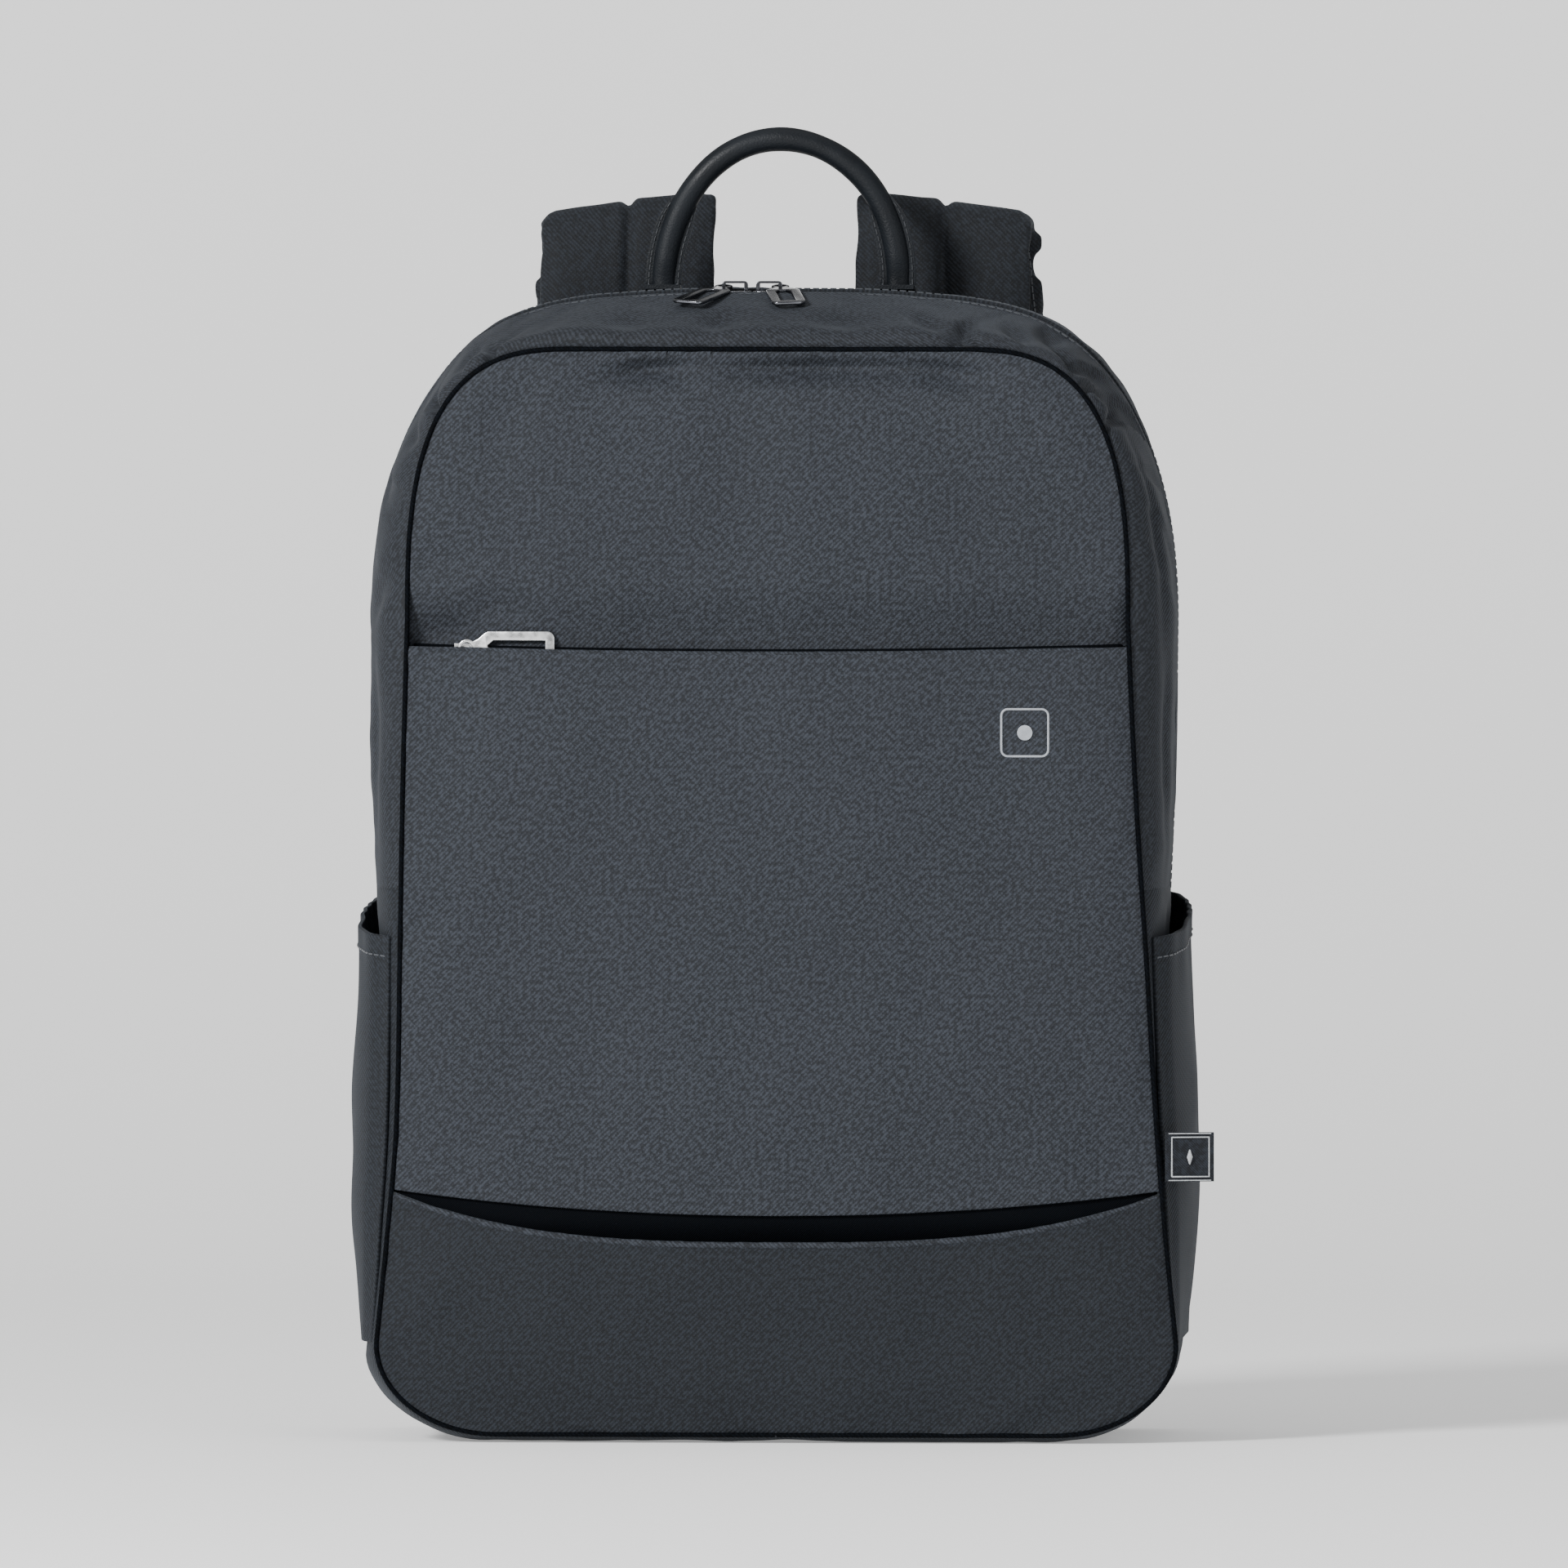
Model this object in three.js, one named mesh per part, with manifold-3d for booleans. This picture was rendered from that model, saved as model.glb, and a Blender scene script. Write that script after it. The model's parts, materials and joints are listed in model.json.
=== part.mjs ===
// Laptop backpack standing on its base, in millimetres. +Z is up and the front faces -Y.
import * as THREE from 'three';
import { mergeVertices } from 'three/addons/utils/BufferGeometryUtils.js';
import Module from 'manifold-3d';

const wasm = await Module();
wasm.setup();

// Body sizes
const BODY_HEIGHT = 421;
const BODY_HALF_WIDTH = 148;
const DEPTH_LOW = 122;
const DEPTH_TOP = DEPTH_LOW * 0.836;
const CLOTH = 1.6;
const GAP = 0.35;

// How far the wall rolls down and up towards the front and back seams
const TOP_ROLL = 21;
const FLOOR_ROLL = 3;
const SEAM_SHIFT = 3.5;

// Corners of the outline seen from the front
const LOW_CORNER_TOP = 36;
const LOW_CORNER_WIDTH = 44;
const HIGH_CORNER_BASE = 300;
const HIGH_CORNER_WIDTH = 88;
const HIGH_CORNER_POWER = 2.2;
const SEAM_CORNER_WIDTH = 62;
const SEAM_CORNER_POWER = 2.9;

// Front panels, their slits and hems
const FRONT_CROWN = 8;
const BACK_CROWN = 3;
const BACK_PAD = 4;
const POCKET_SLIT_HEIGHT = 291.5;
const SLIT_SAG = 2;
const LIP_STEP = 5.6;
const LIP_DEPTH = 14;
const SLIT_TUCK = 2;
const UPPER_SLOPE = 24;
const SMILE_TOP = 83.4;
const SMILE_TOP_RISE = 9;
const HEM_HEIGHT = 73.6;
const HEM_RISE = 18.2;
const HEM_GAPE = 2.5;
const SLIP_POCKET_SPACE = 8.2;
const SLIP_POCKET_FLOOR = 42;
const SLIP_LINING_TOP = 96;
const SLIP_SLOPE = 8;

// Seams, zip and side pockets
const PIPING_RADIUS = 1.5;
const ZIP_PLACE = 0.5;
const ZIP_HALF_WIDTH = 5.5;
const ZIP_TAPE_WIDTH = 3;
const ZIP_RECESS = 2;
const ZIP_COIL_RISE = 0.5;
const ZIP_THICKNESS = 1.2;
const SIDE_SEAM_HEIGHT = 203.5;
const POCKET_MOUTH_LOW = 184.5;
const POCKET_MOUTH_RISE = 15;
const POCKET_BULGE = 10;
const POCKET_MOUTH_SHARE = 0.6;
const FOLD_SINK = 4.5;

// Sliders and pulls
const SLIDER_LENGTH = 12;
const SLIDER_WIDTH = 8.4;
const SLIDER_PLATE = 0.7;
const BRIDGE_LENGTH = 9.7;
const BRIDGE_WIDTH = 2;
const BRIDGE_WIRE = 1.5;
const BRIDGE_TOP = 0.9;
const TOP_SLIDERS_CENTRE = -8.7;
const SLIDERS_APART = 0.6;
const PULL_LENGTH = 35.6;
const PULL_WIDTH = 12.4;
const PULL_BAR = 3.4;
const PULL_THICKNESS = 1.3;
const PULL_EYE_OUTER = 3.3;
const PULL_EYE_HOLE = 2.1;
const PULL_TILT = 10;
const PULL_RUN_CLEARANCE = 0.8;
const LEFT_PULL_TURN = -22;
const RIGHT_PULL_TURN = 9;
const POCKET_SLIDER_X = -110;

// Handle
const HANDLE_RADIUS = 4.5;
const HANDLE_HALF_SPAN = 43;
const HANDLE_RISE = 53;
const HANDLE_PLACE = 0.8;
const HANDLE_TAB_WIDTH = 12;
const HANDLE_TAB_LENGTH = 18;
const HANDLE_TAB_THICKNESS = 2;
const HANDLE_TAB_CLEARANCE = 0.6;

// Shoulder straps, webbing and buckles
const STRAP_HALF_SPACING = BODY_HALF_WIDTH * 0.392;
const STRAP_WIDTH = 67.5;
const STRAP_THICKNESS = 9.5;
const STRAP_ROOT_HEIGHT = 388;
const STRAP_TOP = 455;
const STRAP_FOLD = 17;
const STRAP_TAIL = 152;
const STRAP_BOW = 46;
const STRAP_SPLAY = 38;
const STRAP_TILT = 7;
const WEBBING_WIDTH = 25;
const WEBBING_THICKNESS = 1.6;
const WEBBING_FOOT = 44;
const BUCKLE_WIDTH = 34;
const BUCKLE_LENGTH = 26;
const BUCKLE_BAR = 4;
const BUCKLE_THICKNESS = 4;

// Side tag
const TAG_SIZE = 18;
const TAG_THICKNESS = 1.2;
const TAG_HEIGHT = 105;
const TAG_TURN = 14;

// Rolls of the wall from the front seam (depth 0) to the back seam (depth 1), as shares
const WALL_ROWS = [
  { depth: 0, side: 1, top: 1, floor: 1 },
  { depth: 0.035, side: 0.62, top: 0.76, floor: 0.45 },
  { depth: 0.1, side: 0.27, top: 0.54, floor: 0.1 },
  { depth: 0.19, side: 0.06, top: 0.37, floor: 0 },
  { depth: 0.3, side: 0, top: 0.21, floor: 0 },
  { depth: 0.5, side: 0.02, top: 0, floor: 0 },
  { depth: 0.64, side: 0.06, top: 0, floor: 0 },
  { depth: 0.8, side: 0.16, top: 0.1, floor: 0 },
  { depth: 0.93, side: 0.36, top: 0.3, floor: 0 },
  { depth: 1, side: 0.62, top: 0.52, floor: 0.25 },
];

// Half widths at heights between the corners, as shares of the named sizes
const SIDE_ROWS = [
  { height: 0, full: 1.002, seam: 0.99, shift: 1 },
  { height: 0.14, full: 0.978, seam: 0.965, shift: 1 },
  { height: 0.3, full: 0.968, seam: 0.941, shift: 1 },
  { height: 0.55, full: 0.974, seam: 0.923, shift: 0.6 },
  { height: 0.67, full: 0.984, seam: 0.914, shift: 0.35 },
  { height: 0.8, full: 0.994, seam: 0.905, shift: 0.15 },
  { height: 1, full: 1, seam: 0.892, shift: 0 },
];

// Swell of the front panels by height
const CROWN_ROWS = [
  { height: 0, swell: 0 },
  { height: 0.05, swell: 0.66 },
  { height: 0.12, swell: 0.97 },
  { height: 0.3, swell: 1 },
  { height: 0.55, swell: 0.92 },
  { height: 0.74, swell: 0.74 },
  { height: 0.88, swell: 0.56 },
  { height: 0.96, swell: 0.34 },
  { height: 1, swell: 0 },
];

// Gathers and folds of the wall: place round the outline, depth, half lengths and share of the sink
const FOLDS = [
  { round: 0.735, depth: 0.13, long: 0.018, wide: 0.14, sink: 1 },
  { round: 0.8, depth: 0.16, long: 0.014, wide: 0.13, sink: 0.7 },
  { round: 0.9, depth: 0.12, long: 0.02, wide: 0.12, sink: 0.8 },
  { round: 1.19, depth: 0.12, long: 0.016, wide: 0.14, sink: 0.9 },
  { round: 1.27, depth: 0.15, long: 0.016, wide: 0.14, sink: 1 },
  { round: 0.6, depth: 0.2, long: 0.03, wide: 0.2, sink: 0.5 },
  { round: 1.4, depth: 0.2, long: 0.03, wide: 0.2, sink: 0.5 },
];

// Path of a strap from its root over the fold and down the back, as shares of the strap's sizes
const STRAP_ROWS = [
  { back: 0, up: 0, out: 0, width: 1, thick: 0.75 },
  { back: 0.01, up: 0.3, out: 0, width: 1, thick: 0.95 },
  { back: 0.06, up: 0.66, out: 0, width: 1, thick: 1 },
  { back: 0.2, up: 0.92, out: 0, width: 1, thick: 1 },
  { back: 0.42, up: 1, out: 0.01, width: 1, thick: 1 },
  { back: 0.66, up: 0.9, out: 0.03, width: 1, thick: 1 },
  { back: 0.82, up: 0.6, out: 0.07, width: 1, thick: 1 },
  { back: 0.92, up: 0.1, out: 0.15, width: 1, thick: 1 },
  { back: 1, up: -0.6, out: 0.3, width: 0.99, thick: 1 },
  { back: 1, up: -1.35, out: 0.52, width: 0.96, thick: 1 },
  { back: 0.9, up: -2.1, out: 0.75, width: 0.9, thick: 0.95 },
  { back: 0.75, up: -2.8, out: 0.92, width: 0.78, thick: 0.85 },
  { back: 0.62, up: -3.3, out: 0.98, width: 0.62, thick: 0.7 },
  { back: 0.59, up: -3.53, out: 1, width: 0.5, thick: 0.45 },
];

// Zones round the right half of the outline, by the share where each ends
const ZONES = { floor: 0.16, low: 0.26, side: 0.62, high: 0.88, top: 1 };
const ZONE_STEPS = { floor: 3, low: 4, side: 8, high: 11, top: 4 };

const { lerp, clamp, smoothstep, degToRad } = THREE.MathUtils;
const at = (x, y, z) => new THREE.Vector3(x, y, z);

// A column of a table, read smoothly at any place along its first column
function read(rows, key, place, name) {
  let i = 0;
  while (i < rows.length - 2 && place > rows[i + 1][key]) i += 1;
  const a = rows[i];
  const b = rows[i + 1];
  const before = rows[Math.max(i - 1, 0)];
  const after = rows[Math.min(i + 2, rows.length - 1)];
  const span = b[key] - a[key];
  const t = clamp((place - a[key]) / span, 0, 1);
  const leave = ((b[name] - before[name]) / (b[key] - before[key])) * span;
  const arrive = ((after[name] - a[name]) / (after[key] - a[key])) * span;
  const fall = t * t * (3 - 2 * t);
  const bend = t * (1 - t) * (leave * (1 - t) - arrive * t);
  return lerp(a[name], b[name], fall) + bend;
}

// A superellipse quarter: the share across for a share up
const across = (up, power) => (1 - clamp(up, 0, 1) ** power) ** (1 / power);

const depthAt = (z) => lerp(DEPTH_LOW, DEPTH_TOP, z / BODY_HEIGHT);
const frontAt = (z) => -depthAt(z) / 2;
const heightShare = (z) => clamp((z - LOW_CORNER_TOP) / (HIGH_CORNER_BASE - LOW_CORNER_TOP), 0, 1);
const seamTop = BODY_HEIGHT - TOP_ROLL;

// Half width between the corners, for a roll between the fullest line (0) and the front seam (1)
function halfWidth(z, roll) {
  const full = BODY_HALF_WIDTH * read(SIDE_ROWS, 'height', heightShare(z), 'full');
  const seam = BODY_HALF_WIDTH * read(SIDE_ROWS, 'height', heightShare(z), 'seam');
  return full - (full - seam) * roll;
}

const shiftAt = (z) => SEAM_SHIFT * read(SIDE_ROWS, 'height', heightShare(z), 'shift');

// A sink of the cloth where the wall has its folds
function foldSink(round, depth) {
  let sink = 0;
  for (const fold of FOLDS) {
    const far = ((round - fold.round) / fold.long) ** 2 + ((depth - fold.depth) / fold.wide) ** 2;
    sink += fold.sink * Math.exp(-far);
  }
  return FOLD_SINK * sink;
}

// The wall's outer surface. round runs from the floor's middle (0) up the right side, over the
// top's middle (1) and down the left side to 2; depth runs from the front seam to the back seam
function wallPoint(round, depth) {
  const left = round < 0 || round > 1;
  const g = round < 0 ? -round : round > 1 ? 2 - round : round;
  const share = clamp(depth, 0, 1);
  const roll = read(WALL_ROWS, 'depth', share, 'side');
  const crest = BODY_HEIGHT - TOP_ROLL * read(WALL_ROWS, 'depth', share, 'top');
  const base = FLOOR_ROLL * Math.max(read(WALL_ROWS, 'depth', share, 'floor'), 0);
  const highWidth = lerp(HIGH_CORNER_WIDTH, SEAM_CORNER_WIDTH, roll);
  const power = lerp(HIGH_CORNER_POWER, SEAM_CORNER_POWER, roll);
  let x = 0;
  let z = base;
  if (g <= ZONES.floor) {
    x = (halfWidth(base, roll) - LOW_CORNER_WIDTH) * (g / ZONES.floor);
  } else if (g <= ZONES.low) {
    const turn = ((g - ZONES.floor) / (ZONES.low - ZONES.floor)) * (Math.PI / 2);
    x = halfWidth(base, roll) - LOW_CORNER_WIDTH * (1 - Math.sin(turn));
    z = base + (LOW_CORNER_TOP - base) * (1 - Math.cos(turn));
  } else if (g <= ZONES.side) {
    z = lerp(LOW_CORNER_TOP, HIGH_CORNER_BASE, (g - ZONES.low) / (ZONES.side - ZONES.low));
    x = halfWidth(z, roll);
  } else if (g <= ZONES.high) {
    const turn = ((g - ZONES.side) / (ZONES.high - ZONES.side)) * (Math.PI / 2);
    x = halfWidth(HIGH_CORNER_BASE, roll) - highWidth * (1 - Math.cos(turn) ** (2 / power));
    z = HIGH_CORNER_BASE + (crest - HIGH_CORNER_BASE) * Math.sin(turn) ** (2 / power);
  } else {
    const t = (g - ZONES.high) / (ZONES.top - ZONES.high);
    x = (halfWidth(HIGH_CORNER_BASE, roll) - highWidth) * (1 - t);
    z = crest;
  }
  const shift = share < ZIP_PLACE ? shiftAt(z) * Math.max(roll, 0) : 0;
  return at((left ? -x : x) + shift, lerp(-1, 1, share) * (depthAt(z) / 2), z);
}

// The normal of a surface of two parameters, turned away from a point inside the body
function outward(surface, a, b, stepA, stepB) {
  const alongA = surface(a + stepA, b).sub(surface(a - stepA, b));
  const alongB = surface(a, b + stepB).sub(surface(a, b - stepB));
  const normal = alongA.cross(alongB).normalize();
  const middle = at(0, 0, BODY_HEIGHT / 2);
  return normal.dot(surface(a, b).sub(middle)) < 0 ? normal.negate() : normal;
}

// The wall with its folds, moved outwards by a distance
function wallOut(round, depth, out) {
  const place = clamp(depth, 0.004, 0.996);
  const normal = outward(wallPoint, round, place, 0.003, 0.004);
  return wallPoint(round, depth).addScaledVector(normal, out - foldSink(round, depth));
}

const straightSide = HIGH_CORNER_BASE - LOW_CORNER_TOP;
const roundAt = (z) => lerp(ZONES.low, ZONES.side, (z - LOW_CORNER_TOP) / straightSide);

// Places round the outline shared by every piece that follows it
function placesRound(from, to) {
  const half = [0];
  let start = 0;
  for (const zone of ['floor', 'low', 'side', 'high', 'top']) {
    for (let i = 1; i <= ZONE_STEPS[zone]; i += 1) half.push(lerp(start, ZONES[zone], i / ZONE_STEPS[zone]));
    start = ZONES[zone];
  }
  const all = [...half.slice(1).map((g) => -g), ...half, ...half.slice(0, -1).map((g) => 2 - g)];
  const near = 0.004;
  const inside = all.filter((g) => g > from + near && g < to - near).sort((a, b) => a - b);
  return [from, ...inside, to];
}

// A closed geometry from corner positions and triangles, with its faces turned outwards
function solidFrom(positions, triangles) {
  let volume = 0;
  for (const [a, b, c] of triangles) {
    volume += positions[a].dot(positions[b].clone().cross(positions[c]));
  }
  const faces = volume < 0 ? triangles.map(([a, b, c]) => [a, c, b]) : triangles;
  const geometry = new THREE.BufferGeometry();
  const numbers = positions.flatMap((p) => p.toArray());
  geometry.setAttribute('position', new THREE.Float32BufferAttribute(numbers, 3));
  geometry.setIndex(faces.flat());
  return geometry;
}

// A sheet of cloth: a grid of outer points and a grid of inner points, closed round the rim
function sheet(places, levels, outer, inner) {
  const rows = places.length;
  const columns = levels.length;
  const positions = [];
  for (const side of [outer, inner]) {
    for (const a of places) for (const b of levels) positions.push(side(a, b));
  }
  const point = (side, i, j) => side * rows * columns + i * columns + j;
  const triangles = [];
  const quad = (a, b, c, d) => triangles.push([a, b, c], [a, c, d]);
  for (let i = 0; i < rows - 1; i += 1) {
    for (let j = 0; j < columns - 1; j += 1) {
      quad(point(0, i, j), point(0, i + 1, j), point(0, i + 1, j + 1), point(0, i, j + 1));
      quad(point(1, i, j), point(1, i, j + 1), point(1, i + 1, j + 1), point(1, i + 1, j));
    }
    quad(point(0, i, 0), point(1, i, 0), point(1, i + 1, 0), point(0, i + 1, 0));
    const j = columns - 1;
    quad(point(0, i, j), point(0, i + 1, j), point(1, i + 1, j), point(1, i, j));
  }
  for (let j = 0; j < columns - 1; j += 1) {
    quad(point(0, 0, j), point(0, 0, j + 1), point(1, 0, j + 1), point(1, 0, j));
    const i = rows - 1;
    quad(point(0, i, j), point(1, i, j), point(1, i, j + 1), point(0, i, j + 1));
  }
  return solidFrom(positions, triangles);
}

// Cloth that follows the wall, between two places round and two depths, by an outward distance
function wallCloth(places, levels, thickness, out = () => 0) {
  const outer = (g, v) => wallOut(g, v, out(g, v));
  const inner = (g, v) => wallOut(g, v, out(g, v) - thickness);
  return sheet(places, levels, outer, inner);
}

// A solid through rings of points, closed by a fan at each end
function loft(rings) {
  const count = rings[0].length;
  const positions = rings.flat();
  const triangles = [];
  for (let i = 0; i < rings.length - 1; i += 1) {
    for (let j = 0; j < count; j += 1) {
      const a = i * count + j;
      const b = i * count + ((j + 1) % count);
      triangles.push([a, b, b + count], [a, b + count, a + count]);
    }
  }
  const last = (rings.length - 1) * count;
  for (let j = 1; j < count - 1; j += 1) {
    triangles.push([0, j + 1, j], [last, last + j, last + j + 1]);
  }
  return solidFrom(positions, triangles);
}

const pack = new THREE.Group();
const LOOKS = {
  cloth: { color: 0x434851, roughness: 0.85, metalness: 0 },
  darkCloth: { color: 0x262d35, roughness: 0.9, metalness: 0 },
  lining: { color: 0x141b23, roughness: 0.95, metalness: 0 },
  zip: { color: 0x1b2129, roughness: 0.7, metalness: 0 },
  leather: { color: 0x20272f, roughness: 0.55, metalness: 0 },
  webbing: { color: 0x22272e, roughness: 0.8, metalness: 0 },
  plastic: { color: 0x14171b, roughness: 0.45, metalness: 0 },
  darkMetal: { color: 0x5b6067, roughness: 0.25, metalness: 1 },
  lightMetal: { color: 0xc9cccf, roughness: 0.3, metalness: 1 },
  tag: { color: 0x2a3038, roughness: 0.8, metalness: 0 },
};

function piece(name, geometry, look, parent = pack) {
  const mesh = new THREE.Mesh(geometry, new THREE.MeshStandardMaterial(LOOKS[look]));
  mesh.name = name;
  parent.add(mesh);
  return mesh;
}

// Walls of the main compartment
const edgeDepth = (millimetres) => millimetres / ((DEPTH_LOW + DEPTH_TOP) / 2);
const pipingReach = PIPING_RADIUS + 1.5 * GAP;
const wallFront = edgeDepth(pipingReach * 0.9);
const zipHalf = edgeDepth(ZIP_HALF_WIDTH);
const sideSeam = roundAt(SIDE_SEAM_HEIGHT + GAP / 2);
const overTop = placesRound(sideSeam, 2 - sideSeam);

function depthsBetween(from, to) {
  const near = 0.012;
  const inside = WALL_ROWS.map((row) => row.depth).filter((v) => v > from + near && v < to - near);
  return [from, ...inside, to];
}

function makeGussets() {
  piece('front_gusset', wallCloth(overTop, depthsBetween(wallFront, ZIP_PLACE - zipHalf), CLOTH), 'cloth');
  piece('rear_gusset', wallCloth(overTop, depthsBetween(ZIP_PLACE + zipHalf, 1), CLOTH), 'darkCloth');
}

function makeMainZip() {
  const gap = edgeDepth(GAP);
  const tape = edgeDepth(ZIP_TAPE_WIDTH);
  const sunk = () => -ZIP_RECESS;
  const front = [ZIP_PLACE - zipHalf + gap, ZIP_PLACE - zipHalf + gap + tape];
  const rear = [ZIP_PLACE + zipHalf - gap - tape, ZIP_PLACE + zipHalf - gap];
  const coil = [front[1] + gap, rear[0] - gap];
  piece('main_zip_tape_front', wallCloth(overTop, front, ZIP_THICKNESS, sunk), 'zip');
  piece('main_zip_tape_rear', wallCloth(overTop, rear, ZIP_THICKNESS, sunk), 'zip');
  const raised = () => ZIP_COIL_RISE - ZIP_RECESS;
  piece('main_zip_coil', wallCloth(overTop, coil, ZIP_THICKNESS + ZIP_COIL_RISE, raised), 'zip');
}

function makeLowerWalls() {
  const levels = depthsBetween(wallFront, 1);
  const low = ZONES.low;
  const gap = roundAt(LOW_CORNER_TOP + GAP) - low;
  const high = roundAt(SIDE_SEAM_HEIGHT - GAP / 2);
  const floor = ZONES.floor;
  const flat = floor - (floor * GAP) / (halfWidth(0, 0) - LOW_CORNER_WIDTH);
  piece('bottom_panel', wallCloth(placesRound(-flat, flat), levels, CLOTH), 'cloth');
  piece('bottom_corner_right', wallCloth(placesRound(floor, low), levels, CLOTH), 'cloth');
  piece('bottom_corner_left', wallCloth(placesRound(-low, -floor), levels, CLOTH), 'cloth');
  piece('side_panel_right', wallCloth(placesRound(low + gap, high), levels, CLOTH), 'darkCloth');
  piece('side_panel_left', wallCloth(placesRound(2 - high, 2 - low - gap), levels, CLOTH), 'darkCloth');
}

// The front seam's outline, drawn in by a distance: half width at a height
function seamHalf(z, inset) {
  const top = seamTop - inset;
  const base = FLOOR_ROLL + inset;
  const half = halfWidth(z, 1) - inset;
  if (z > HIGH_CORNER_BASE) {
    const width = SEAM_CORNER_WIDTH - inset;
    const up = (z - HIGH_CORNER_BASE) / (top - HIGH_CORNER_BASE);
    return half - width + width * across(up, SEAM_CORNER_POWER);
  }
  if (z < LOW_CORNER_TOP) {
    const width = LOW_CORNER_WIDTH - inset;
    const down = (LOW_CORNER_TOP - z) / (LOW_CORNER_TOP - base);
    return half - width + width * across(down, 2);
  }
  return half;
}

// The front panels' surface at a share across (-1 to 1) and a height, set back by a distance
function frontPoint(s, z, back = 0) {
  const low = FLOOR_ROLL + pipingReach;
  const high = seamTop - pipingReach;
  const share = clamp((z - low) / (high - low), 0, 1);
  const arch = 0.5 * (1 - Math.abs(s) ** 9) + 0.5 * (1 - s * s);
  const swell = FRONT_CROWN * arch * Math.max(read(CROWN_ROWS, 'height', share, 'swell'), 0);
  return at(s * seamHalf(z, pipingReach) + shiftAt(z), frontAt(z) - swell + back, z);
}

const ACROSS = [-1, -0.96, -0.88, -0.72, -0.48, -0.24, 0, 0.24, 0.48, 0.72, 0.88, 0.96, 1];

// A front panel between a lower and an upper edge, each a height for a share across
function frontPanel(rows, low, high, back, thickness = CLOTH, reach = 1) {
  const height = (s, t) => lerp(low(s), high(s), t);
  const outer = (s, t) => frontPoint(s * reach, height(s, t), back(s, height(s, t)));
  const inner = (s, t) => outer(s, t).add(at(0, thickness, 0));
  return sheet(ACROSS, rows, outer, inner);
}

const even = (count) => Array.from({ length: count + 1 }, (_, i) => i / count);
const slitAt = (s) => POCKET_SLIT_HEIGHT - SLIT_SAG * (1 - s * s);
const smileAt = (s) => SMILE_TOP + SMILE_TOP_RISE * s * s;
const hemAt = (s) => HEM_HEIGHT + HEM_RISE * Math.abs(s) ** 3;

// Rows that follow a round corner: dense where the outline turns fastest
function cornerRows(from, base, end, power, steps) {
  const rows = [];
  for (let i = 0; i <= steps; i += 1) {
    rows.push(base + (end - base) * Math.sin((i / steps) * (Math.PI / 2)) ** (2 / power));
  }
  return rows.map((z) => (z - from) / (end - from));
}

function makeFrontPanels() {
  const top = seamTop - pipingReach;
  const floor = FLOOR_ROLL + pipingReach;
  const tuck = POCKET_SLIT_HEIGHT - SLIT_SAG - SLIT_TUCK;
  const slope = [POCKET_SLIT_HEIGHT + SLIT_TUCK, POCKET_SLIT_HEIGHT + UPPER_SLOPE];
  const setBack = (s, z) => LIP_STEP * (1 - smoothstep(z, ...slope));
  const upperRows = [0, 0.08, ...cornerRows(tuck, HIGH_CORNER_BASE, top, SEAM_CORNER_POWER, 9)];
  const upper = frontPanel(upperRows, () => tuck, () => top, setBack);
  piece('upper_front_panel', upper, 'cloth');

  const zipTop = tuck - GAP;
  const zipBand = frontPanel([0, 1], () => zipTop - LIP_DEPTH, () => zipTop, () => LIP_STEP, CLOTH, 0.985);
  piece('pocket_zip', zipBand, 'zip');

  piece('main_front_panel', frontPanel(even(11), smileAt, slitAt, () => 0), 'cloth');

  const gape = (s, z) => -HEM_GAPE * (1 - s * s) * smoothstep(z, LOW_CORNER_TOP, HEM_HEIGHT);
  const lowerRows = [0, 0.02, 0.06, 0.12, 0.2, 0.32, 0.5, 0.75, 1];
  piece('lower_front_panel', frontPanel(lowerRows, () => floor, hemAt, gape), 'cloth');

  const behind = CLOTH + GAP;
  const lined = (s, z) => lerp(SLIP_POCKET_SPACE, behind, smoothstep(z, HEM_HEIGHT - SLIP_SLOPE, SMILE_TOP));
  const facingLow = HEM_HEIGHT - SLIP_SLOPE;
  const lining = frontPanel(even(2), () => SLIP_POCKET_FLOOR, () => facingLow - GAP, lined, CLOTH, 0.97);
  piece('slip_pocket_lining', lining, 'lining');
  const facing = frontPanel(even(5), () => facingLow, () => SLIP_LINING_TOP, lined, CLOTH, 0.97);
  piece('slip_pocket_facing', facing, 'lining');
}

// A path that a tube follows through shared places, so that its corners lie on its neighbours' corners
class PlacedPath extends THREE.Curve {
  constructor(points) {
    super();
    this.points = points;
  }

  getPoint(t) {
    const place = t * (this.points.length - 1);
    const i = Math.min(Math.floor(place), this.points.length - 2);
    return this.points[i].clone().lerp(this.points[i + 1], place - i);
  }

  getPointAt(t) {
    return this.getPoint(t);
  }
}

function tube(points, radius, sides) {
  const ring = [];
  for (let i = 0; i < sides; i += 1) {
    const turn = ((i + 0.5) / sides) * 2 * Math.PI;
    ring.push(new THREE.Vector2(Math.cos(turn) * radius, Math.sin(turn) * radius));
  }
  const shape = new THREE.Shape(ring);
  return new THREE.ExtrudeGeometry(shape, { steps: points.length - 1, extrudePath: new PlacedPath(points) });
}

function makePiping() {
  const join = GAP / BODY_HALF_WIDTH / 4;
  const places = placesRound(join, 2 - join);
  piece('front_piping', tube(places.map((g) => wallPoint(g, 0)), PIPING_RADIUS, 6), 'cloth');
}

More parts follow.
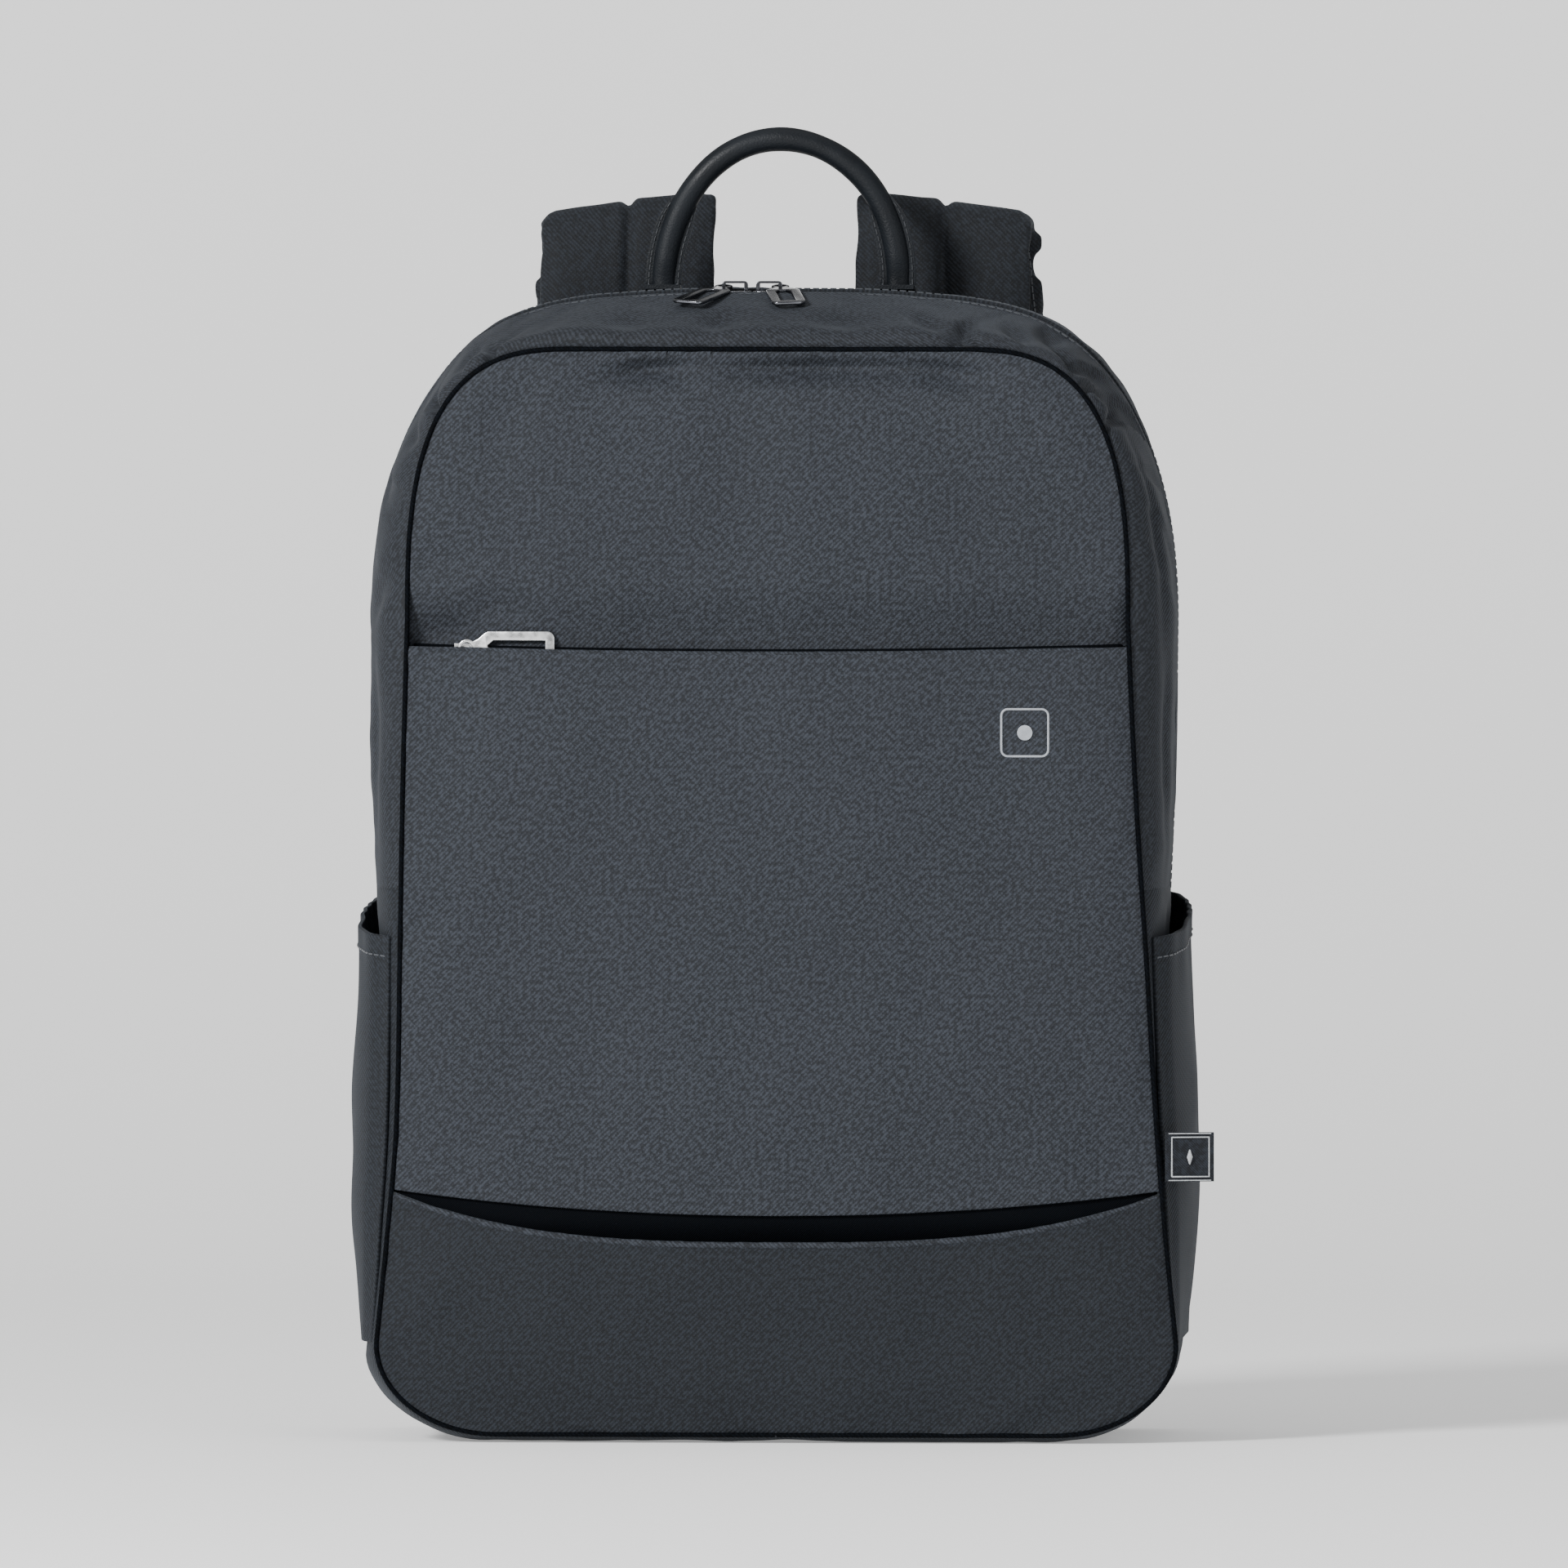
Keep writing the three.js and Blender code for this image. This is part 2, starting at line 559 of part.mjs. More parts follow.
// The back panel fills the back seam's outline
function makeBackPanel() {
  const inset = CLOTH + 2 * GAP;
  const places = placesRound(0, 1);
  const edge = places.map((g) => wallPoint(g, 1)).filter((p) => p.x > 0.01);
  const middle = BODY_HEIGHT / 2;
  const rise = (z) => 1 - Math.abs(z / middle - 1) ** 4;
  const shrink = (p) => {
    const nearEnd = smoothstep(Math.abs(p.z - middle), middle / 2, middle);
    return at(p.x - inset, p.y, p.z - inset * Math.sign(p.z - middle) * nearEnd);
  };
  const rim = edge.map(shrink);
  const shares = even(10).map((t) => 2 * t - 1);
  const outer = (s, i) => at(s * rim[i].x, rim[i].y + BACK_CROWN * (1 - s * s) * rise(rim[i].z), rim[i].z);
  const inner = (s, i) => at(s * rim[i].x, rim[i].y - BACK_PAD, rim[i].z);
  const levels = rim.map((_, i) => i).filter((i) => i === 0 || rim[i].z - rim[i - 1].z > 0.5);
  piece('back_panel', sheet(shares, levels, outer, inner), 'darkCloth');
}

function makeSidePockets() {
  const clear = CLOTH + GAP;
  const base = LOW_CORNER_TOP + GAP;
  const mouth = (v) => POCKET_MOUTH_LOW + POCKET_MOUTH_RISE * v;
  const swell = (v, t) => {
    const bow = 1 - Math.abs(2 * v - 1) ** 2.6;
    const rise = Math.sin(Math.min(t / 0.4, 1) * (Math.PI / 2));
    const upright = rise * lerp(1, POCKET_MOUTH_SHARE, smoothstep(t, 0.55, 1));
    return POCKET_BULGE * bow * upright;
  };
  const depths = [0.04, 0.1, 0.19, 0.3, 0.42, 0.55, 0.68, 0.8, 0.9, 0.96];
  const rises = [0, 0.08, 0.18, 0.3, 0.42, 0.56, 0.7, 0.85, 0.95, 1];
  for (const [side, name] of [[1, 'right'], [-1, 'left']]) {
    const round = (v, t) => {
      const g = roundAt(lerp(base, mouth(v), t));
      return side > 0 ? g : 2 - g;
    };
    const outer = (v, t) => wallOut(round(v, t), v, clear + swell(v, t) + foldSink(round(v, t), v));
    const inner = (v, t) => wallOut(round(v, t), v, GAP + swell(v, t) + foldSink(round(v, t), v));
    piece(`side_pocket_${name}`, sheet(depths, rises, outer, inner), 'darkCloth');
  }
}

// Sliders and pulls
function toSolid(geometry) {
  const plain = geometry.clone();
  plain.deleteAttribute('normal');
  plain.deleteAttribute('uv');
  const merged = mergeVertices(plain, 1e-4);
  return new wasm.Manifold(new wasm.Mesh({
    numProp: 3,
    vertProperties: merged.attributes.position.array,
    triVerts: new Uint32Array(merged.index.array),
  }));
}

function fromSolid(solid) {
  const mesh = solid.getMesh();
  const geometry = new THREE.BufferGeometry();
  geometry.setAttribute('position', new THREE.BufferAttribute(mesh.vertProperties, 3));
  geometry.setIndex(new THREE.BufferAttribute(mesh.triVerts, 1));
  return geometry;
}

const pullUnder = SLIDER_PLATE + PULL_RUN_CLEARANCE;
const eyeLift = PULL_EYE_OUTER * Math.sin(degToRad(PULL_TILT));
const bridgeUnder = pullUnder + PULL_THICKNESS + eyeLift + GAP / 2;

// A slider's plate with a bridge over it; its foot is at the origin and the bridge runs along X
function sliderShape() {
  const plan = new THREE.Shape();
  const half = SLIDER_LENGTH / 2;
  const waist = SLIDER_WIDTH * 0.36;
  plan.moveTo(-half, -waist);
  plan.quadraticCurveTo(0, -SLIDER_WIDTH * 0.5, half * 0.6, -SLIDER_WIDTH / 2);
  plan.quadraticCurveTo(half, -SLIDER_WIDTH / 2, half, -waist);
  plan.lineTo(half, waist);
  plan.quadraticCurveTo(half, SLIDER_WIDTH / 2, half * 0.6, SLIDER_WIDTH / 2);
  plan.quadraticCurveTo(0, SLIDER_WIDTH * 0.5, -half, waist);
  const plateCut = { depth: SLIDER_PLATE, bevelEnabled: false, curveSegments: 4 };
  const plate = new THREE.ExtrudeGeometry(plan, plateCut);

  const reach = BRIDGE_LENGTH / 2;
  const top = bridgeUnder + BRIDGE_TOP;
  const arch = new THREE.Shape();
  arch.moveTo(-reach, SLIDER_PLATE / 2);
  arch.lineTo(-reach, top - BRIDGE_WIRE);
  arch.quadraticCurveTo(-reach, top, -reach + BRIDGE_WIRE, top);
  arch.lineTo(reach - BRIDGE_WIRE, top);
  arch.quadraticCurveTo(reach, top, reach, top - BRIDGE_WIRE);
  arch.lineTo(reach, SLIDER_PLATE / 2);
  arch.lineTo(reach - BRIDGE_WIRE, SLIDER_PLATE / 2);
  arch.lineTo(reach - BRIDGE_WIRE, bridgeUnder);
  arch.lineTo(-reach + BRIDGE_WIRE, bridgeUnder);
  arch.lineTo(-reach + BRIDGE_WIRE, SLIDER_PLATE / 2);
  const bridgeCut = { depth: BRIDGE_WIDTH, bevelEnabled: false, curveSegments: 3 };
  const bridge = new THREE.ExtrudeGeometry(arch, bridgeCut);
  bridge.translate(0, 0, -BRIDGE_WIDTH / 2);
  bridge.rotateX(Math.PI / 2);
  return fromSolid(toSolid(plate).add(toSolid(bridge)));
}

// A pull: an eye at the origin, a neck and a long window frame towards -Y
function pullShape() {
  const half = PULL_WIDTH / 2;
  const neck = PULL_EYE_OUTER * 0.75;
  const shoulder = -PULL_EYE_OUTER - half * 0.5;
  const end = PULL_EYE_OUTER - PULL_LENGTH;
  const round = PULL_BAR * 0.8;
  const outline = new THREE.Shape();
  const start = Math.acos(neck / PULL_EYE_OUTER);
  outline.absarc(0, 0, PULL_EYE_OUTER, -start, Math.PI + start, false);
  outline.lineTo(-half, shoulder - PULL_BAR * 0.4);
  outline.lineTo(-half, end + round);
  outline.quadraticCurveTo(-half, end, -half + round, end);
  outline.lineTo(half - round, end);
  outline.quadraticCurveTo(half, end, half, end + round);
  outline.lineTo(half, shoulder - PULL_BAR * 0.4);
  const hole = new THREE.Path();
  hole.absarc(0, 0, PULL_EYE_HOLE, 0, 2 * Math.PI, true);
  const window = new THREE.Path();
  const inner = half - PULL_BAR;
  window.moveTo(-inner, shoulder - PULL_BAR);
  window.lineTo(-inner, end + PULL_BAR);
  window.lineTo(inner, end + PULL_BAR);
  window.lineTo(inner, shoulder - PULL_BAR);
  window.lineTo(inner * 0.4, shoulder - PULL_BAR * 0.4);
  window.lineTo(-inner * 0.4, shoulder - PULL_BAR * 0.4);
  outline.holes.push(hole, window);
  return new THREE.ExtrudeGeometry(outline, { depth: PULL_THICKNESS, bevelEnabled: false, curveSegments: 8 });
}

function makeTopSliders() {
  const apart = (SLIDER_LENGTH + SLIDERS_APART) / 2;
  const seat = BODY_HEIGHT - ZIP_RECESS + ZIP_COIL_RISE + GAP;
  const zipY = lerp(-1, 1, ZIP_PLACE) * (depthAt(BODY_HEIGHT) / 2);
  const leg = (BRIDGE_LENGTH - BRIDGE_WIRE) / 2;
  const sets = [
    { name: 'left', side: -1, turn: LEFT_PULL_TURN },
    { name: 'right', side: 1, turn: RIGHT_PULL_TURN },
  ];
  for (const { name, side, turn } of sets) {
    const holder = new THREE.Group();
    holder.position.set(TOP_SLIDERS_CENTRE + side * apart, zipY, seat);
    pack.add(holder);
    const slider = piece(`top_slider_${name}`, sliderShape(), 'darkMetal', holder);
    slider.rotation.z = side > 0 ? Math.PI : 0;
    const eye = new THREE.Group();
    eye.position.set(side * leg, 0, pullUnder);
    eye.rotation.x = degToRad(PULL_TILT);
    holder.add(eye);
    const pull = piece(`top_pull_${name}`, pullShape(), 'darkMetal', eye);
    pull.rotation.z = degToRad(turn);
  }
}

// The pocket's slider lies behind the lip, and its pull hangs half out of the slit
function makePocketSlider() {
  const half = seamHalf(POCKET_SLIT_HEIGHT, pipingReach);
  const start = POCKET_SLIDER_X / half;
  const end = start + (PULL_LENGTH - 2 * PULL_EYE_OUTER) / half;
  const edge = slitAt(start);
  const from = frontPoint(start, edge, LIP_STEP);
  const to = frontPoint(end, edge, LIP_STEP);
  const room = LIP_STEP - CLOTH;
  const plate = (room - PULL_THICKNESS) / 2 - GAP * 1.5;
  const halfPlate = SLIDER_LENGTH * 0.4;
  const plan = new THREE.Shape();
  plan.moveTo(-halfPlate, -SLIDER_WIDTH);
  plan.lineTo(halfPlate, -SLIDER_WIDTH);
  plan.lineTo(halfPlate, SLIDER_WIDTH * 0.2);
  plan.lineTo(-halfPlate, SLIDER_WIDTH * 0.2);
  const body = new THREE.ExtrudeGeometry(plan, { depth: plate, bevelEnabled: false });
  body.rotateX(Math.PI / 2);
  const reach = room - GAP * 3;
  const stem = new THREE.CylinderGeometry(PULL_EYE_HOLE * 0.55, PULL_EYE_HOLE * 0.55, reach, 10);
  stem.translate(0, -reach / 2, 0);
  const holder = new THREE.Group();
  holder.position.set(from.x, from.y - GAP * 1.5, edge - GAP);
  holder.rotation.z = Math.atan2(to.y - from.y, to.x - from.x);
  pack.add(holder);
  piece('pocket_slider', fromSolid(toSolid(body).add(toSolid(stem))), 'lightMetal', holder);
  const pull = pullShape();
  pull.rotateX(Math.PI / 2);
  pull.rotateY(-Math.PI / 2);
  pull.translate(0, -plate - GAP, 0);
  piece('pocket_pull', pull, 'lightMetal', holder);
}

// Handle
function handleSeat(side) {
  const roll = read(WALL_ROWS, 'depth', HANDLE_PLACE, 'side');
  const flat = halfWidth(HIGH_CORNER_BASE, roll) - lerp(HIGH_CORNER_WIDTH, SEAM_CORNER_WIDTH, roll);
  const round = lerp(ZONES.high, ZONES.top, 1 - HANDLE_HALF_SPAN / flat);
  return side > 0 ? round : 2 - round;
}

function makeHandle() {
  const lift = HANDLE_TAB_THICKNESS + GAP + HANDLE_TAB_CLEARANCE;
  const foot = wallOut(handleSeat(1), HANDLE_PLACE, lift);
  const points = [];
  const steps = 22;
  for (let i = 0; i <= steps; i += 1) {
    const turn = Math.PI * (1 - i / steps);
    points.push(at(HANDLE_HALF_SPAN * Math.cos(turn), foot.y, foot.z + 1 + HANDLE_RISE * Math.sin(turn)));
  }
  piece('carry_handle', tube(points, HANDLE_RADIUS, 10), 'leather');
  for (const [side, name] of [[-1, 'left'], [1, 'right']]) {
    const middle = handleSeat(side);
    const flat = Math.abs(wallPoint(ZONES.high, HANDLE_PLACE).x);
    const halfRound = ((HANDLE_TAB_WIDTH / 2) / flat) * (ZONES.top - ZONES.high);
    const halfDepth = HANDLE_TAB_LENGTH / 2 / DEPTH_TOP;
    const places = [middle - halfRound, middle, middle + halfRound];
    const levels = [-1, -0.3, 0.4, 0.7].map((t) => HANDLE_PLACE + t * halfDepth);
    const out = () => GAP + HANDLE_TAB_THICKNESS;
    piece(`handle_tab_${name}`, wallCloth(places, levels, HANDLE_TAB_THICKNESS, out), 'leather');
  }
}

// Shoulder straps
const strapRootBack = depthAt(STRAP_ROOT_HEIGHT) / 2 + BACK_CROWN + STRAP_THICKNESS / 2;
const strapRoot = at(STRAP_HALF_SPACING, strapRootBack, STRAP_ROOT_HEIGHT);
const strapRise = STRAP_TOP - STRAP_THICKNESS / 2 - STRAP_ROOT_HEIGHT;

function strapCentre(row) {
  const drop = (STRAP_ROOT_HEIGHT - STRAP_TAIL) / -STRAP_ROWS[STRAP_ROWS.length - 1].up;
  const up = row.up >= 0 ? row.up * strapRise : row.up * drop;
  const back = row.back * (row.up > 0.5 ? 2 * STRAP_FOLD : STRAP_BOW);
  return at(strapRoot.x + row.out * STRAP_SPLAY, strapRoot.y + back, strapRoot.z + up);
}

// A ring of points round a flat section with round edges
function padRing(centre, wide, thick, width, thickness) {
  const ring = [];
  const sides = 12;
  for (let i = 0; i < sides; i += 1) {
    const turn = ((i + 0.5) / sides) * 2 * Math.PI;
    const u = Math.sign(Math.cos(turn)) * Math.abs(Math.cos(turn)) ** 0.45;
    const v = Math.sign(Math.sin(turn)) * Math.abs(Math.sin(turn)) ** 0.7;
    const point = centre.clone().addScaledVector(wide, (u * width) / 2);
    ring.push(point.addScaledVector(thick, (v * thickness) / 2));
  }
  return ring;
}

function makeStraps() {
  const centres = STRAP_ROWS.map(strapCentre);
  const path = new THREE.CatmullRomCurve3(centres, false, 'centripetal');
  const last = STRAP_ROWS.length - 1;
  const rows = STRAP_ROWS.map((row, place) => ({ ...row, place }));
  for (const [side, name] of [[-1, 'left'], [1, 'right']]) {
    const rings = [];
    const steps = last * 2;
    for (let i = 0; i <= steps; i += 1) {
      const t = i / steps;
      const centre = path.getPoint(t);
      const along = path.getTangent(t);
      const high = clamp(centre.z - strapRoot.z, 0, strapRise) / strapRise;
      const wide = at(1, 0, -Math.sin(degToRad(STRAP_TILT)) * high * high);
      wide.addScaledVector(along, -wide.dot(along)).normalize();
      const thick = along.clone().cross(wide);
      const width = STRAP_WIDTH * read(rows, 'place', t * last, 'width');
      const thickness = STRAP_THICKNESS * read(rows, 'place', t * last, 'thick');
      const ring = padRing(centre, wide, thick, width, thickness);
      rings.push(ring.map((p) => at(side * p.x, p.y, p.z)));
    }
    piece(`shoulder_strap_${name}`, loft(rings), 'darkCloth');
    makeAdjuster(side, name, path);
  }
}

// The webbing adjuster below a strap, and its webbing down to the lower corner of the back
function makeAdjuster(side, name, path) {
  const tip = path.getPoint(1);
  const run = path.getTangent(1);
  const wide = at(1, 0, 0).addScaledVector(run, -run.x).normalize();
  const thick = wide.clone().cross(run);
  const frame = new THREE.Matrix4().makeBasis(wide, run, thick);
  const outline = new THREE.Shape();
  const half = BUCKLE_WIDTH / 2;
  outline.moveTo(-half, 0);
  outline.lineTo(half, 0);
  outline.lineTo(half * 0.9, BUCKLE_LENGTH);
  outline.lineTo(-half * 0.9, BUCKLE_LENGTH);
  const slot = (BUCKLE_LENGTH - 3 * BUCKLE_BAR) / 2;
  for (const base of [BUCKLE_BAR, 2 * BUCKLE_BAR + slot]) {
    const hole = new THREE.Path();
    hole.moveTo(-half + BUCKLE_BAR, base);
    hole.lineTo(-half + BUCKLE_BAR, base + slot);
    hole.lineTo(half - BUCKLE_BAR, base + slot);
    hole.lineTo(half - BUCKLE_BAR, base);
    outline.holes.push(hole);
  }
  const buckle = new THREE.ExtrudeGeometry(outline, { depth: BUCKLE_THICKNESS, bevelEnabled: false });
  buckle.translate(0, GAP, -BUCKLE_THICKNESS / 2);
  buckle.applyMatrix4(frame);
  buckle.translate(tip.x, tip.y, tip.z);
  const behind = (BUCKLE_THICKNESS + WEBBING_THICKNESS) / 2 + GAP;
  const webTop = tip.clone().addScaledVector(run, BUCKLE_BAR).addScaledVector(thick, -behind);
  const seat = depthAt(WEBBING_FOOT) / 2 + BACK_CROWN / 2 + WEBBING_THICKNESS / 2;
  const foot = at(tip.x + WEBBING_WIDTH / 3, seat, WEBBING_FOOT);
  const rings = [];
  const steps = 6;
  const slope = foot.clone().sub(webTop).normalize();
  const sideways = at(1, 0, 0).addScaledVector(slope, -slope.x).normalize();
  const normal = slope.clone().cross(sideways);
  for (let i = 0; i <= steps; i += 1) {
    const centre = webTop.clone().lerp(foot, i / steps);
    const corner = (u, v) => centre.clone()
      .addScaledVector(sideways, (u * WEBBING_WIDTH) / 2)
      .addScaledVector(normal, (v * WEBBING_THICKNESS) / 2);
    rings.push([corner(-1, -1), corner(1, -1), corner(1, 1), corner(-1, 1)]);
  }
  const webbing = loft(rings);
  if (side < 0) {
    mirror(buckle);
    mirror(webbing);
  }
  piece(`strap_buckle_${name}`, buckle, 'plastic');
  piece(`strap_webbing_${name}`, webbing, 'webbing');
}

// Mirrors a geometry left to right and turns its faces back outwards
function mirror(geometry) {
  geometry.scale(-1, 1, 1);
  if (geometry.index) {
    const index = geometry.index.array;
    for (let i = 0; i < index.length; i += 3) [index[i + 1], index[i + 2]] = [index[i + 2], index[i + 1]];
    return;
  }
  const array = geometry.attributes.position.array;
  for (let i = 0; i < array.length; i += 9) {
    const [second, third] = [array.slice(i + 3, i + 6), array.slice(i + 6, i + 9)];
    array.set(third, i + 3);
    array.set(second, i + 6);
  }
}

// The tag is sewn into the front seam on the right and lies out over the pocket
function makeTag() {
  const seam = wallPoint(roundAt(TAG_HEIGHT), 0);
  const tag = new THREE.BoxGeometry(TAG_SIZE, TAG_THICKNESS, TAG_SIZE, 2, 1, 2);
  tag.translate(TAG_SIZE / 2, 0, 0);
  const mesh = piece('side_tag', tag, 'tag');
  mesh.rotation.z = degToRad(TAG_TURN);
  mesh.position.set(seam.x + PIPING_RADIUS + GAP * 3, seam.y - TAG_THICKNESS / 2, TAG_HEIGHT);
}

makeGussets();
makeMainZip();
makeLowerWalls();
makeFrontPanels();
makePiping();
makeBackPanel();
makeSidePockets();
makeTopSliders();
makePocketSlider();
makeHandle();
makeStraps();
makeTag();

// The origin is the middle of the base of the whole thing
const model = new THREE.Group();
model.add(pack);
model.updateMatrixWorld(true);
const box = new THREE.Box3().setFromObject(pack, true);
pack.position.set(-(box.min.x + box.max.x) / 2, -(box.min.y + box.max.y) / 2, -box.min.z);

export default model;
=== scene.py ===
import json
import math

import bmesh
import bpy
from bpy.props import FloatProperty, FloatVectorProperty, PointerProperty
from bpy.types import Operator, Panel, PropertyGroup
from mathutils import Matrix, Vector, noise


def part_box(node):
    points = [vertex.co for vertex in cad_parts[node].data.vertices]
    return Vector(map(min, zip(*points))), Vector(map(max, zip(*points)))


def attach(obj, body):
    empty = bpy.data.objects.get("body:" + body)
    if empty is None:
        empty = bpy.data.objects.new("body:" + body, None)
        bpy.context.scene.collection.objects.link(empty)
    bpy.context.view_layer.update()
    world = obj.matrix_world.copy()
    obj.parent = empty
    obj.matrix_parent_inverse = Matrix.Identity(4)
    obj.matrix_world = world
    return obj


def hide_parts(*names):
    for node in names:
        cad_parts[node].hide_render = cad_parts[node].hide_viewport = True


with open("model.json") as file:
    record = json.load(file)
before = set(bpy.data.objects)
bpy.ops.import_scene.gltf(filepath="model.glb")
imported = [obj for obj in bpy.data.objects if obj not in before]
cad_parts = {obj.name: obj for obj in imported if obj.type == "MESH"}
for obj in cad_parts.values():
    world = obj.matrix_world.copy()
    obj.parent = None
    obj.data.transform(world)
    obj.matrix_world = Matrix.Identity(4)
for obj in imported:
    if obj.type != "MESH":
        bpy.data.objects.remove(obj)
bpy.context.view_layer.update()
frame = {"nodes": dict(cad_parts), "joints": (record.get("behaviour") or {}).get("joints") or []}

bl_info = {
    "name": "Laptop Backpack",
    "version": (1, 0, 0),
    "blender": (4, 5, 0),
    "location": "3D View > Sidebar > Backpack",
    "description": "Dresses a laptop backpack: cloth walls, pockets, zips, handle, straps and stage",
    "category": "Object",
}

MM = 0.001

# The body's middle in the frame: the handle is centred across it, and the top sliders along it
HANDLE_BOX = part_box("carry_handle")
SLIDER_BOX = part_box("top_slider_left")
MIDDLE_X = (HANDLE_BOX[0][0] + HANDLE_BOX[1][0]) / 2
MIDDLE_Y = (SLIDER_BOX[0][1] + SLIDER_BOX[1][1]) / 2


def table(columns, *rows):
    """The rows of a table, each with its values by the names of the columns."""
    names = columns.split()
    return tuple(dict(zip(names, row)) for row in rows)


# Body: lengths in millimetres; places, depths, powers and shares are plain numbers
CLOTH = 1.6
SEAM_GAP = 0.35
TOP_ROLL = 21
FLOOR_ROLL = 3
SEAM_SHIFT = 3.5
LOW_CORNER_TOP = 36
LOW_CORNER_WIDTH = 44
HIGH_CORNER_BASE = 300
HIGH_CORNER_WIDTH = 88
HIGH_CORNER_POWER = 2.2
SEAM_CORNER_WIDTH = 62
SEAM_CORNER_POWER = 2.9
FRONT_CROWN = 8
SLIT_HEIGHT = 291.5
SLIT_SAG = 2
LIP_STEP = 5.6
LIP_STEP_START = 2
LIP_STEP_END = 24
LIP_OUT = 0.7
LIP_IN = 0.9
LIP_DEPTH = 14
LIP_TUCK = 2
LIP_ROLL_RADIUS = 0.8
# How far the front zip's near-black tape shows over the lip: the zip's own edge and partly painted shade of
# the slit's shadow line
ZIP_SHOWS = 0.9
SMILE_TOP = 83.4
SMILE_TOP_RISE = 9
HEM_HEIGHT = 73.6
HEM_RISE = 18.2
HEM_GAPE = 2.5
HEM_TURN = 0.4
HEM_ROLL_RADIUS = 1.25
SLIP_SPACE = 8.2
SLIP_FLOOR = 42
SLIP_TOP = 96
CORD_RADIUS = 0.9
PANEL_INSET = 0.6
ZIP_PLACE = 0.5
ZIP_HALF_WIDTH = 5.5
ZIP_RECESS = 2
ZIP_TAPE_WIDTH = 3
ZIP_STITCH_INSET = 3.6
CORD_JOIN = 0.0006
SIDE_SEAM_HEIGHT = 203.5
MARK_ACROSS = 94.5
MARK_HEIGHT = 260
MARK_HALF = 8.6
MARK_CORNER = 2.4
MARK_LINE = 0.45
MARK_DOT = 2.8
POCKET_MOUTH_LOW = 184.5
POCKET_MOUTH_RISE = 15
POCKET_MOUTH_SHARE = 0.6
POCKET_INSET = 0.032
POCKET_STITCH_DROP = 7.5
BACK_CROWN = 3
BACK_PAD = 4
BACK_CHANNEL = 1.6
BACK_CHANNEL_PLACE = 0.36
BACK_CHANNEL_WIDTH = 0.02
FOLD_SINK = 4.5

# How far the top band rolls forwards and up over the front seam, and the depth where it is fullest
SEAM_ROLL = Vector((0, -3.2, 1))
SEAM_ROLL_DEPTH = 0.045

# Rolls of the wall from the front seam (depth 0) to the back seam (depth 1), as shares
WALL_ROWS = table(
    "depth side top floor",
    (0, 1, 1, 1),
    (0.035, 0.62, 0.76, 0.45),
    (0.1, 0.27, 0.54, 0.1),
    (0.19, 0.06, 0.37, 0),
    (0.3, 0, 0.21, 0),
    (0.5, 0.02, 0, 0),
    (0.64, 0.06, 0, 0),
    (0.8, 0.16, 0.1, 0),
    (0.93, 0.36, 0.3, 0),
    (1, 0.62, 0.52, 0.25),
)

# Half widths between the corners, as shares of the body's half width
SIDE_ROWS = table(
    "height full seam shift",
    (0, 1.002, 0.99, 1),
    (0.14, 0.978, 0.965, 1),
    (0.3, 0.968, 0.941, 1),
    (0.55, 0.974, 0.923, 0.6),
    (0.67, 0.984, 0.914, 0.35),
    (0.8, 0.994, 0.905, 0.15),
    (1, 1, 0.892, 0),
)

# Swell of the front panels by height
CROWN_ROWS = table(
    "height swell",
    (0, 0),
    (0.05, 0.66),
    (0.12, 0.97),
    (0.3, 1),
    (0.55, 0.92),
    (0.74, 0.74),
    (0.88, 0.56),
    (0.96, 0.34),
    (1, 0),
)

# Gathers and dips of the wall: place round the outline, depth, half lengths, lean along the depth and sink
FOLDS = table(
    "round depth long wide lean sink",
    (0.735, 0.1, 0.006, 0.12, 0.05, 1),
    (0.764, 0.06, 0.0045, 0.09, -0.08, 1.25),
    (0.79, 0.16, 0.01, 0.12, 0.08, 0.75),
    (0.83, 0.12, 0.008, 0.09, 0.02, 0.5),
    (0.872, 0.06, 0.0045, 0.09, -0.1, 1.2),
    (0.888, 0.1, 0.009, 0.08, 0.1, 0.6),
    (0.95, 0.1, 0.02, 0.07, 0.05, 0.5),
    (1.035, 0.12, 0.012, 0.09, -0.05, 0.6),
    (1.1, 0.14, 0.012, 0.1, 0.06, 0.5),
    (1.19, 0.06, 0.0045, 0.1, 0.08, 1.25),
    (1.215, 0.16, 0.008, 0.1, -0.05, 0.55),
    (1.255, 0.06, 0.0045, 0.1, -0.06, 1.25),
    (1.28, 0.15, 0.009, 0.12, -0.05, 0.8),
    (0.855, 0.5, 0.05, 0.4, 0, 0.65),
    (1.145, 0.5, 0.05, 0.4, 0, 0.55),
    (0.66, 0.13, 0.05, 0.035, 0, 0.45),
    (0.56, 0.17, 0.045, 0.04, 0.02, 0.45),
    (1.37, 0.12, 0.008, 0.12, 0.06, 0.6),
    (1.44, 0.15, 0.04, 0.045, 0, 0.4),
)

